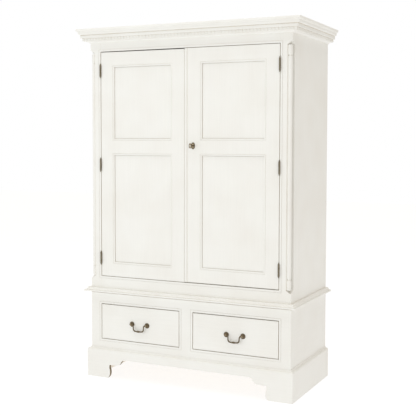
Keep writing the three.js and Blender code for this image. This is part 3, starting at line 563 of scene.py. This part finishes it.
def sawn(c):
    """True for a face of the sawn edge, whose centre lies inside the board's thickness."""
    inside = FRONT - (PLINTH - 0.1) * MM < c.y < FRONT - MM
    return inside and abs(c.x) < HALF - 110 * MM and 0.5 * MM < c.z < SKIRT + MM


# The sawn edge gets the dark tones, which are painted shade.
refinish(made, sawn_edge_shade_paint, sawn)
print("feet %.0f mm wide at the floor" % FOOT_WIDE)

# %% [markdown]
# ## Beads and quirks
#
# Round the doors and round each drawer the frame carries a small bead: a flattened half round, set
# off from the flat of the frame by a quirk, which is a groove about as wide as a saw cut. The
# quirk is cut into the frame pieces and the bead is a separate mitred ring, as a joiner would plant
# it. Two helpers do this: one sweeps a profile round a rectangle, and one is the ring that cuts.

# %% Rectangle sweep
def round_a_window(profile, x0, x1, z0, z1, face):
    """Sweeps (inset, depth) points in mm round a rectangle. Negative insets lie outside it."""
    mesh = bmesh.new()
    rows = []
    for inset, depth in profile:
        i, y = inset * MM, face + depth * MM
        rows.append([mesh.verts.new(p) for p in ((x0 + i, y, z0 + i), (x1 - i, y, z0 + i),
                                                 (x1 - i, y, z1 - i), (x0 + i, y, z1 - i))])
    skin(mesh, rows, closed=True)
    return mesh


BEAD, PROUD, QUIRK, QUIRK_DEPTH = 11.5, 1.0, 1.0, 1.0
bead_profile = [(-0.1, 2.0), (-0.1, 0.4)]
bead_profile += [(-BEAD / 2 - BEAD / 2 * math.cos(t), 0.2 - (PROUD + 0.2) * math.sin(t))
                 for t in (math.pi * (1 - i / 12) for i in range(0, 13))]
bead_profile += [(-BEAD, 2.0)]


def quirk(x0, x1, z0, z1):
    """The ring-shaped cutter of the groove outside a bead."""
    near, far = -BEAD, -BEAD - QUIRK
    return round_a_window([(near, -1), (near, QUIRK_DEPTH), (far, QUIRK_DEPTH), (far, -1)],
                          x0, x1, z0, z1, FRONT)


DOORWAY = (-OPENING_HALF, OPENING_HALF, OPENING_BOTTOM, OPENING_TOP)
piece("doorway_bead", round_a_window(bead_profile, *DOORWAY, FRONT), paint_upright, "case",
      angle=60)

# %% [markdown]
# ## Corner posts with their stopped rebates
#
# Each front corner is hollowed to take a round column. The hollow is 30 mm by 34 mm for most of
# its height, and at both ends it runs out to the arris on a slight curve, as a carver's gouge would
# leave it. The cutter is a stack of rectangles that shrink towards each end. Paint fills part of
# the narrow gap between the column and the post, so a slim strip lies at the wall of the hollow.

# %% Corner posts
REBATE_X, REBATE_Y, STOP = 30 * MM, 34 * MM, 22 * MM
FILL_WIDE, FILL_NEAR, FILL_FAR = 4.1 * MM, 4.3 * MM, 12 * MM
low_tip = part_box("corner_column_right")[0][2] - STOP
high_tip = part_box("corner_column_right")[1][2] + STOP


def corner_hollow(side):
    mesh = bmesh.new()
    levels = []
    steps = 10
    for i in range(steps + 1):
        levels.append((low_tip + STOP * i / steps, (i / steps) ** 0.8))
    for i in range(steps + 1):
        levels.append((high_tip - STOP * (1 - i / steps), (1 - i / steps) ** 0.8))
    rings = []
    for z, share in levels:
        share = max(share, 0.004)
        x0, x1 = side * (HALF - REBATE_X * share), side * (HALF + 2 * MM)
        y0, y1 = FRONT - 2 * MM, FRONT + REBATE_Y * share
        rings.append([mesh.verts.new(p) for p in
                      ((x0, y0, z), (x1, y0, z), (x1, y1, z), (x0, y1, z))])
    skin(mesh, rings)
    mesh.faces.new(rings[0][::-1])
    mesh.faces.new(rings[-1])
    return mesh


for word, side in (("left", -1), ("right", 1)):
    low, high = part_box("corner_post_" + word)
    blank = bmesh.new()
    add_box(blank, low, high)
    outer = [e for e in blank.edges
             if all(abs(v.co.x - side * HALF) < MM and v.co.y < FRONT + MM for v in e.verts)]
    bmesh.ops.bevel(blank, geom=outer, offset=1.2 * MM, segments=3, profile=0.5, affect="EDGES")
    post = carve(blank, corner_hollow(side), quirk(*DOORWAY))
    c_low, c_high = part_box("corner_column_" + word)
    xs = sorted((side * (HALF - REBATE_X - 0.1 * MM), side * (HALF - REBATE_X + FILL_WIDE)))
    add_box(post, (xs[0], FRONT + FILL_NEAR, c_low[2] + 2 * MM),
            (xs[1], FRONT + FILL_FAR, c_high[2] - 2 * MM))
    piece("post_" + word, post, paint_upright, "case", ["corner_post_" + word],
          angle=28)

for name, grain in (("frieze_rail", paint_across), ("rail_below_doors", paint_across)):
    blank = bmesh.new()
    add_box(blank, *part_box(name))
    rail = carve(blank, quirk(*DOORWAY))
    piece(name + "_board", rail, grain, "case", [name], angle=28)

# %% [markdown]
# ## Corner columns
#
# The columns are turned: a plain shaft with a short drum at each end, parted from it by a bead and
# a groove. A finer groove is cut in the drum, 13 mm from its end. A lathe profile is the natural
# way to make them, with enough sides that the highlight runs straight.

# %% Corner columns
def column_profile(height, radius=12.3, drum=54):
    end = [(0, 0), (radius - 1, 0), (radius, 1), (radius, 12), (radius - 1.2, 12.8),
           (radius - 1.2, 14.2), (radius, 15), (radius, drum - 6)]
    neck = [(radius - 0.8, drum - 5), *arc((radius - 1.6, drum - 2.6), 1.6, -60, 70, 5),
            (radius - 3.6, drum - 0.4), (radius - 3.6, drum + 2.6), (radius - 0.5, drum + 3.6)]
    lower = end + neck
    upper = [(r, height - h) for r, h in reversed(lower)]
    return [(r * MM, h * MM) for r, h in lower + upper]


for word in ("left", "right"):
    name = "corner_column_" + word
    low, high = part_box(name)
    foot_at = ((low[0] + high[0]) / 2, (low[1] + high[1]) / 2, low[2])
    turned = lathe(column_profile((high[2] - low[2]) / MM), foot_at, sides=48)
    piece("column_" + word, turned, paint_upright, "case", [name], angle=35)

# %% [markdown]
# ## The frame round the drawers
#
# One face frame spans the base, with a wide upright between the two drawers. Each opening has the
# same bead and quirk as the doorway. A narrow rebate along its top edge makes the dark line that
# sets the waist moulding off from the base.

# %% Base frame
DRAWER_GAP, SHADOW_HIGH, SHADOW_DEEP = 3 * MM, 3 * MM, 6 * MM
low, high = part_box("base_face_frame")
blank = bmesh.new()
add_box(blank, low, high)
cutters = []
for word in ("left", "right"):
    f_low, f_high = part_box(word + "_drawer_front")
    window = (f_low[0] - DRAWER_GAP, f_high[0] + DRAWER_GAP,
              f_low[2] - DRAWER_GAP, f_high[2] + DRAWER_GAP)
    hole = bmesh.new()
    add_box(hole, (window[0], low[1] - MM, window[2]), (window[1], high[1] + MM, window[3]))
    cutters += [hole, quirk(*window)]
    piece(word + "_drawer_bead", round_a_window(bead_profile, *window, FRONT), paint_across,
          "case", angle=60)
shadow_line = bmesh.new()
add_box(shadow_line, (low[0] - MM, low[1] - MM, high[2] - SHADOW_HIGH),
        (high[0] + MM, low[1] + SHADOW_DEEP, high[2] + MM))
cutters.append(shadow_line)
piece("base_frame", carve(blank, *cutters), paint_across, "case",
      ["base_face_frame"], angle=28)

# %% [markdown]
# ## Doors
#
# Under several coats of paint the joints between stiles and rails disappear, so each door's frame
# is one mesh: a board with two windows, its arrises eased with abrasive paper. In each window sits
# a planted moulding: a small round, a shallow quirk, and a short hollow that ends in a step down to
# the flat panel. The top edges of the doors run a millimetre or so out of level, as they do on
# old work. On the right-hand door a cover strip dresses the meeting edge, with one round bead and a
# narrow lip over most of the gap.

# %% Door frames
PANEL_DEPTH, BOARD_IN = 7.5 * MM, 11.4 * MM
panel_moulding = [(0, 12), (0, 1.0), (0.5, 0.5)]
panel_moulding += [(2.7 - 2.2 * math.cos(t), 0.6 - 1.2 * math.sin(t))
                   for t in (math.radians(180 * i / 8) for i in range(1, 8))]
panel_moulding += [(5.0, 0.8), (5.2, 1.5), (5.9, 1.5)]
panel_moulding += [(5.9 + 4.2 * math.sin(t), 3.6 - 2.1 * math.cos(t))
                   for t in (math.radians(90 * i / 6) for i in range(1, 7))]
panel_moulding += [(10.3, 3.8), (10.3, 12)]


def door(word, side):
    body = word + "_door"
    box = {m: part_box(f"{word}_door_{m}") for m in
           ("hinge_stile", "top_rail", "mid_rail", "bottom_rail", "meeting_stile")}
    x_hinge = box["hinge_stile"][0 if side < 0 else 1]
    meeting = box["meeting_stile"]
    edge = meeting[1][0] if side < 0 else meeting[0][0] + STRIP_LAP
    z0, z1 = box["hinge_stile"][0][2], box["hinge_stile"][1][2]
    front, back = FRONT, box["hinge_stile"][1][1]
    xs = sorted((x_hinge[0], edge))
    blank = bmesh.new()
    add_box(blank, (xs[0], front, z0), (xs[1], back, z1))
    cutters = []
    for which in ("upper_panel", "lower_panel"):
        low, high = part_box(f"{word}_door_{which}")
        hole = bmesh.new()
        add_box(hole, (low[0] - NEST * MM, front - MM, low[2] - NEST * MM),
                (high[0] + NEST * MM, back + MM, high[2] + NEST * MM))
        cutters.append(hole)
    blank = carve(blank, *cutters)
    drop, at_meeting_edge = SAG[word]
    hinge_edge = x_hinge[0 if side < 0 else 1]
    reach = abs(edge - hinge_edge)
    for v in blank.verts:
        away = min(1, abs(v.co.x - hinge_edge) / reach)
        if v.co.z > z1 - MM:
            v.co.z -= drop * MM * (away if at_meeting_edge else 1 - away)
    ease(blank, 1.1 * MM, segments=3)
    if side > 0:
        bore = lathe([(3.6 * MM, -30 * MM), (3.6 * MM, 5 * MM)], KEY_AT, axis="Y", sides=24)
        blank = carve(blank, bore)
    piece(f"{word}_door_frame", blank, paint_upright, body,
          [f"{word}_door_{m}" for m in box], angle=35)
    for which in ("upper_panel", "lower_panel"):
        low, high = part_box(f"{word}_door_{which}")
        ring = round_a_window(panel_moulding, low[0], high[0], low[2], high[2], front)
        piece(f"{word}_{which}_moulding", ring, paint_upright, body, angle=32)
        board = bmesh.new()
        add_box(board, (low[0] + BOARD_IN, front + PANEL_DEPTH, low[2] + BOARD_IN),
                (high[0] - BOARD_IN, high[1], high[2] - BOARD_IN))
        add_box(board, (low[0] + 2 * MM, front + 12.2 * MM, low[2] + 2 * MM),
                (high[0] - 2 * MM, high[1] - 0.5 * MM, high[2] - 2 * MM))
        piece(f"{word}_{which}_board", board, paint_upright, body,
              [f"{word}_door_{which}"])


STRIP_LAP = 17.5 * MM
# How far the top edge drops in mm, and whether it does so at the meeting edge or at the hinges.
SAG = {"left": (1.6, True), "right": (1.0, False)}
key_low, key_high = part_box("door_key")
KEY_AT = ((key_low[0] + key_high[0]) / 2, FRONT,
          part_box("key_escutcheon")[0][2] / 2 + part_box("key_escutcheon")[1][2] / 2)
door("left", -1)
door("right", 1)

# %% Cover strip on the meeting edge
low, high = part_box("right_door_meeting_stile")
x = low[0]
strip_profile = [(0, 22), (0, 8), (-2, 8), (-2, 0.8), (-1.5, 0)]
strip_profile += [(7.0 - 7.2 * math.cos(t), -3.2 * math.sin(t))
                  for t in (math.radians(180 * i / 14) for i in range(0, 15))]
strip_profile += [(14.2, 0.6), (14.9, 0.6), (15.1, 0), (17.5, 0), (17.5, 22)]
strip = bmesh.new()
plate(strip, *([strip.verts.new((x + a * MM, FRONT + b * MM, z)) for a, b in strip_profile]
               for z in (low[2], high[2])))
piece("meeting_cover_strip", strip, paint_upright, "right_door", angle=35)
print("doors 2")

# %% [markdown]
# ## Hinges
#
# These are plain butt hinges with three knuckles and a turned finial at each end. The frame leaf
# has the outer knuckles, the pin and the finials. The door leaf has the middle knuckle and turns
# with the door. Only the barrel stands proud of the paint, so that is where the roundings go.

# %% Hinges
BARREL, KNUCKLE, HALF_LEAF, TAIL = 4.5, 65 / 3, 32.5, 41.5


def hinge(word, place, side):
    low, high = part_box(f"{word}_{place}_hinge_frame_leaf")
    x, y, z = side * hinge_x, hinge_y, (low[2] + high[2]) / 2

    def turned(mesh, points):
        lathe([(r * MM, h * MM) for r, h in points], (x, y, z), sides=24, mesh=mesh)

    def leaf(mesh, way, tabs):
        x0, x1 = sorted((x + way * 0.35 * MM, x + way * 1.45 * MM))
        for y0, a, b in [(5.9, -HALF_LEAF, HALF_LEAF)] + [(3.2, a, b) for a, b in tabs]:
            depth = 26 if y0 > 5 else 6.2
            add_box(mesh, (x0, y + y0 * MM, z + a * MM), (x1, y + depth * MM, z + b * MM))

    frame_side = bmesh.new()
    gap = KNUCKLE / 2
    finial = [(BARREL - 0.8, HALF_LEAF), (2.2, HALF_LEAF + 0.5), (1.9, HALF_LEAF + 1.4),
              (2.5, HALF_LEAF + 2.2), (2.8, HALF_LEAF + 3.2), (2.5, HALF_LEAF + 4.8),
              (1.6, HALF_LEAF + 6.9), (0.8, TAIL - 0.5), (0, TAIL)]
    outer_knuckle = [(0, gap + 0.2), (BARREL - 0.6, gap + 0.2), (BARREL, gap + 0.8),
                     (BARREL, HALF_LEAF - 0.6), *finial]
    turned(frame_side, outer_knuckle)
    turned(frame_side, [(r, -h) for r, h in reversed(outer_knuckle)])
    turned(frame_side, [(0, -gap - 1), (2.2, -gap - 1), (2.2, gap + 1), (0, gap + 1)])
    leaf(frame_side, side, [(-HALF_LEAF, -gap - 0.2), (gap + 0.2, HALF_LEAF)])
    piece(f"{word}_{place}_hinge_on_frame", frame_side, dull_brass, "case",
          [f"{word}_{place}_hinge_frame_leaf"])
    door_side = bmesh.new()
    turned(door_side, [(2.5, -gap + 0.2), (BARREL - 0.6, -gap + 0.2), (BARREL, -gap + 0.8),
                       (BARREL, gap - 0.8), (BARREL - 0.6, gap - 0.2), (2.5, gap - 0.2),
                       (2.5, -gap + 0.2)])
    leaf(door_side, -side, [(-gap + 0.2, gap - 0.2)])
    piece(f"{word}_{place}_hinge_on_door", door_side, dull_brass, f"{word}_door",
          [f"{word}_{place}_hinge_door_leaf"])


hinge_x, hinge_y = pivots["right_door_swing"][:2]
for word, side in (("left", -1), ("right", 1)):
    for place in ("top", "middle", "bottom"):
        hinge(word, place, side)
print("hinges 6")

# %% [markdown]
# ## Key and escutcheon
#
# The right-hand door is locked with a key that stays in its hole. The escutcheon is an oval plate
# with a raised rim, made as a stack of rings that shrink from the oval outline to the round hole.
# The key's bow is a flattened ring standing on edge, so it is a ring of elliptical section. The
# bow and the dished middle of the plate are rubbed bright by fingers.

# %% Escutcheon
low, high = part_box("key_escutcheon")
half_x, half_z = (high[0] - low[0]) / 2, (high[2] - low[2]) / 2
oval = bmesh.new()
sides = 48
rings = []
hole = 3.7 * MM
for share, out in ((1, 0.2), (1, 0.9), (0.97, 1.7), (0.92, 2.2), (0.86, 2.3), (0.81, 1.9),
                   (0.77, 1.2), (0.72, 1.1), (0.6, 1.2), (0.4, 1.45), (0.2, 1.7), (0.1, 1.9),
                   (0, 1.7), (0, 0.2)):
    rings.append([oval.verts.new((
        KEY_AT[0] + math.cos(a) * (hole + (half_x - hole) * share), FRONT - out * MM,
        KEY_AT[2] + math.sin(a) * (hole + (half_z - hole) * share)))
        for a in (2 * math.pi * i / sides for i in range(sides))])
skin(oval, rings, closed=True)
made = piece("escutcheon_plate", oval, aged_brass, "right_door",
             ["key_escutcheon"])


def dished_middle(c):
    across, up = c.x - KEY_AT[0], c.z - KEY_AT[2]
    return math.hypot(across / half_x, up / half_z) < 0.6 and math.hypot(across, up) > 4.2 * MM


refinish(made, rubbed_brass, dished_middle)

# %% Key
def ring_of(mesh, centre, radius, thick, wide, around=48, section=12):
    """A ring standing in the plane x = constant, of elliptical section."""
    rows = []
    for i in range(around):
        a = 2 * math.pi * i / around
        out = Vector((0, math.cos(a), math.sin(a)))
        rows.append([mesh.verts.new(Vector(centre) + out * (radius + thick * math.cos(b))
                                    + Vector((wide * math.sin(b), 0, 0)))
                     for b in (2 * math.pi * k / section for k in range(section))])
    skin(mesh, rows, closed=True)


key = bmesh.new()
bow_middle = FRONT - 34.5 * MM
ring_of(key, (KEY_AT[0], bow_middle, KEY_AT[2]), 10.5 * MM, 3.9 * MM, 1.9 * MM)
shaft = [(0, -22.5), (2.2, -22.5), (2.8, -21.6), (2.8, -19), (2.3, -18), (2.3, -15.5), (3.6, -14.4),
         (4.6, -12.4), (4.6, -11.2), (3.6, -9.6), (2.9, -8.6), (2.9, -7.4), (4.3, -6.6), (4.3, -5.4),
         (2.9, -4.6), (2.9, 31), (2.4, 31.5), (0, 31.5)]
lathe([(r * MM, -h * MM) for r, h in shaft], KEY_AT, axis="Y", sides=24, mesh=key)
bit = [(24.6, 0), (31, 0), (31, -12.6), (29.6, -12.6), (29.6, -8.4), (28.2, -8.4), (28.2, -12.6),
       (26.2, -12.6), (26.2, -10.2), (24.6, -10.2)]
plate(key, *([key.verts.new((x, FRONT + a * MM, KEY_AT[2] + b * MM)) for a, b in bit]
             for x in (KEY_AT[0] - 1.2 * MM, KEY_AT[0] + 1.2 * MM)))
made = piece("wardrobe_key", key, aged_brass, "key", ["door_key"], angle=35)
refinish(made, rubbed_brass, lambda c: c.y < FRONT - 20 * MM and 7.2 * MM < math.hypot(
    c.y - bow_middle, c.z - KEY_AT[2]) < 13.6 * MM)

# %% [markdown]
# ## Drop handles
#
# Each handle is two turned roses with a post through the drawer front, and a bail that hangs
# between them. The bail is swan-necked: from each post it bends in and down, runs straight, and
# turns into a level grip that swells in the middle. It is swept by hand along a smooth curve, so
# that the bar's thickness can change on the way: thin at the pivots and fat at the grip. The round
# heads of the posts are rubbed bright.

# %% Bail sweep
def smooth(points, steps=7):
    """Catmull-Rom points through (x, z, radius) points."""
    made = []
    padded = [points[0]] + points + [points[-1]]
    for i in range(1, len(padded) - 2):
        p0, p1, p2, p3 = (Vector(p) for p in padded[i - 1:i + 3])
        for k in range(steps):
            t = k / steps
            made.append(0.5 * (2 * p1 + (p2 - p0) * t + (2 * p0 - 5 * p1 + 4 * p2 - p3) * t * t
                               + (3 * p1 - p0 - 3 * p2 + p3) * t ** 3))
    return made + [Vector(points[-1])]


def sweep_bar(mesh, line, centre, sides=16):
    """A round bar along (x, z, radius) points in mm, in the plane y = constant."""
    rows = []
    for i, p in enumerate(line):
        ahead = line[min(i + 1, len(line) - 1)] - line[max(i - 1, 0)]
        along = Vector((ahead[0], 0, ahead[1])).normalized()
        out = Vector((-along.z, 0, along.x))
        spot = Vector(centre) + Vector((p[0] * MM, 0, p[1] * MM))
        rows.append([mesh.verts.new(spot + (out * math.cos(a) + Vector((0, 1, 0)) * math.sin(a))
                                    * p[2] * MM)
                     for a in (2 * math.pi * k / sides for k in range(sides))])
    skin(mesh, rows)
    mesh.faces.new(rows[0][::-1])
    mesh.faces.new(rows[-1])


# %% Handles
ROSE, PIVOT_OUT, POSTS_APART = 15, 14, 98
rose_profile = [(0, 0), (ROSE - 0.4, 0), (ROSE, 0.5), (ROSE - 0.2, 1.4), (ROSE - 1.2, 2.1),
                (ROSE - 2.6, 2.2), (ROSE - 3.2, 1.7), (ROSE - 4.2, 1.8), (ROSE - 6.5, 3.2),
                (ROSE - 8.6, 4.4), (5.2, 5.2), (4.3, 6.4), (3.9, 7.6), (4.5, 8.8)]
rose_profile += arc((0, PIVOT_OUT + 0.2), 5.6, -62, 88, 9)[1:] + [(0, PIVOT_OUT + 5.8)]

half_bail = [(-43.6, 0, 3.45), (-41.4, 0.0, 3.85), (-38.4, -1.0, 4.15), (-35.4, -4.4, 3.65),
             (-33.5, -9.5, 3.25), (-32.9, -16, 3.15), (-32.6, -23, 3.35), (-30.2, -29.8, 3.75),
             (-25.0, -34.2, 3.95), (-18.0, -36.0, 3.65), (-12.5, -36.3, 3.45), (-9.5, -36.4, 4.25),
             (-5.0, -36.4, 5.05), (0, -36.4, 5.25)]
bail_line = smooth(half_bail + [(-x, z, r) for x, z, r in reversed(half_bail[:-1])])

for word, side in (("left", -1), ("right", 1)):
    low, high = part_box(word + "_handle_bail")
    pivot = Vector(pivots[word + "_bail_swing"])
    for end, way in (("inner", -side), ("outer", side)):
        rose_at = (pivot.x + way * POSTS_APART / 2 * MM, FRONT - 0.2 * MM, pivot.z)
        rose = lathe([(r * MM, h * MM) for r, h in rose_profile], rose_at, axis="Y", sides=40)
        made = piece(f"{word}_{end}_rose_and_post", rose, aged_brass, word + "_drawer",
                     [f"{word}_handle_{end}_rose"], angle=50)
        refinish(made, rubbed_brass, lambda c: c.y < FRONT - 15 * MM)
    bail = bmesh.new()
    sweep_bar(bail, bail_line, pivot)
    for way in (-1, 1):
        pin = [(0, 42), (2.4, 42), (2.4, 54.7), (3.6, 54.8), (3.7, 55.6), (2.9, 56.3), (0, 56.5)]
        lathe([(r * MM, way * h * MM) for r, h in pin], pivot, axis="X", sides=20, mesh=bail)
    piece(word + "_swan_neck_bail", bail, aged_brass, word + "_bail",
          [word + "_handle_bail"], angle=50)
print("bail", len(bail_line), "sections")

# %% [markdown]
# ## Drawers
#
# A drawer front is a plain board with eased arrises, planed a little low at the top so that it
# never binds in damp weather. Behind it is a box of bare pine: two sides and a back with rounded
# top edges, a front lining, and a bottom let into a groove. The boards are separate islands of one
# mesh that butt where the dovetails would be.

# %% Drawers
DROP = {"left": 0.8, "right": 1.4}
for word in ("left", "right"):
    body = word + "_drawer"
    front_board = bmesh.new()
    low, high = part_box(word + "_drawer_front")
    add_box(front_board, low, (high[0], high[1], high[2] - DROP[word] * MM))
    ease(front_board, 1.3 * MM, segments=3)
    piece(word + "_drawer_face", front_board, paint_across, body,
          [word + "_drawer_front"])
    (x0, y0, z0), (x1, y1, z1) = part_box(word + "_drawer_box")
    wall, bottom = 12 * MM, 8 * MM
    boards = bmesh.new()
    for low, high in (((x0, y0, z0), (x0 + wall, y1, z1)), ((x1 - wall, y0, z0), (x1, y1, z1)),
                      ((x0 + wall, y0, z0), (x1 - wall, y0 + wall, z1 - 1 * MM)),
                      ((x0 + wall, y1 - wall, z0), (x1 - wall, y1, z1 - 8 * MM)),
                      ((x0 + wall, y0 + wall, z0 + 3 * MM), (x1 - wall, y1 - wall, z0 + bottom))):
        add_box(boards, low, high)
    rims = [e for e in boards.edges
            if all(v.co.z > z1 - 9 * MM for v in e.verts)
            and abs(e.verts[0].co.z - e.verts[1].co.z) < 1e-6]
    bmesh.ops.bevel(boards, geom=rims, offset=3 * MM, segments=4, profile=0.5, affect="EDGES",
                    clamp_overlap=True)
    piece(word + "_drawer_lining", boards, pine_deep, body, [word + "_drawer_box"])
print("drawers 2")

# %% [markdown]
# ## Hanging rail
#
# Inside, a nickel tube runs between two turned flanges, each with a short socket for its end.

# %% Hanging rail
low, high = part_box("hanging_rail")
middle = ((low[0] + high[0]) / 2, (low[1] + high[1]) / 2, (low[2] + high[2]) / 2)
reach = (high[0] - low[0]) / 2 / MM
socket = [(0, reach), (22.5, reach), (24, reach - 1), (24, reach - 3), (22, reach - 4.5),
          (16.5, reach - 5.5), (15.5, reach - 7), (15.5, reach - 11), (14.5, reach - 12),
          (12.5, reach - 12)]
tube = socket + [(r, -h) for r, h in reversed(socket)]
rail = lathe([(r * MM, -h * MM) for r, h in tube], middle, axis="X", sides=40)
piece("hanging_tube", rail, nickel, "case", ["hanging_rail"])

# %% [markdown]
# ## Boards that stay as they come
#
# The sides, floors, roof and backs are flat boards whose edges are covered by the mouldings, so the
# CAD nodes keep their own shape and only receive their finish, with the grain running the long
# way. The case and the bolt of the lock keep theirs too.

# %% Finishes on the CAD boards
carried = {
    "upper_side_left": paint_upright, "upper_side_right": paint_upright,
    "upper_back_board": paint_upright, "roof_board": paint_across, "floor_board": paint_across,
    "base_side_left": paint_deep, "base_side_right": paint_deep, "base_back_board": paint_across,
    "drawer_deck": pine_across, "lock_case": aged_brass, "lock_bolt": nickel,
}
for name, material in carried.items():
    data = nodes[name].data
    data.materials.clear()
    data.materials.append(material)
print("finished", len(carried), "boards and lock parts")

# %% [markdown]
# ## Studio
#
# The piece stands in a soft, slightly warm room, which gives most of the light, and the camera
# sees plain white behind it. The floor is grey and gives off some light of its own, so that it
# stays near white while the shadow under the piece still shows. One large panel hangs overhead. A
# cool one, low at the front left, lifts the front above the side, and a weak warm one on the right
# keeps the side from going dull.

# %% Floor, room and lamps
scene = bpy.context.scene
scene.view_settings.view_transform = "Standard"
scene.view_settings.look = "None"
floor_mesh = bmesh.new()
edge = 14
floor_mesh.faces.new([floor_mesh.verts.new(p) for p in
                      ((-edge, -edge, 0), (edge, -edge, 0), (edge, edge, 0), (-edge, edge, 0))])
floor_data = bpy.data.meshes.new("studio_floor")
floor_mesh.to_mesh(floor_data)
floor_mesh.free()
floor_finish, tree = new_material("matt_white_studio_floor")
shader = put(tree, "BsdfPrincipled", {"Base Color": srgb("#808080"), "Roughness": 0.9,
                                      "Emission Color": srgb("#FFFFFF"),
                                      "Emission Strength": 0.84})
put(tree, "OutputMaterial", {"Surface": shader.outputs[0]})
floor_data.materials.append(floor_finish)
floor = bpy.data.objects.new("studio_floor", floor_data)
scene.collection.objects.link(floor)

room = bpy.data.worlds.new("studio_room")
scene.world = room
room.use_nodes = True
tree = room.node_tree
tree.nodes.clear()
glow = put(tree, "Background", {"Color": (1.0, 0.953, 0.87, 1), "Strength": 0.61})
plain = put(tree, "Background", {"Color": (1, 1, 1, 1), "Strength": 1.0})
seen = put(tree, "LightPath")
both = put(tree, "MixShader", {0: seen.outputs["Is Camera Ray"], 1: glow.outputs[0],
                               2: plain.outputs[0]})
put(tree, "OutputWorld", {"Surface": both.outputs[0]})


def soft_panel(name, place, target, size, power, tint=(1, 1, 1)):
    lamp = bpy.data.lights.new(name, "AREA")
    lamp.shape, lamp.size, lamp.energy, lamp.color = "SQUARE", size, power, tint
    made = bpy.data.objects.new(name, lamp)
    made.location = place
    made.rotation_euler = (Vector(target) - Vector(place)).to_track_quat("-Z", "Y").to_euler()
    scene.collection.objects.link(made)


soft_panel("overhead_panel", (0.0, -0.6, 5.6), (0, 0, 0), 5.0, 130, (0.97, 0.985, 1.0))
soft_panel("front_panel", (-3.2, -5.2, 1.6), (0, 0, 1.1), 2.6, 49, (0.80, 0.92, 1.0))
soft_panel("right_panel", (4.6, -4.4, 1.8), (0.5, 0, 1.1), 2.6, 14, (1.0, 0.95, 0.88))
print("lamps", len(bpy.data.lights))
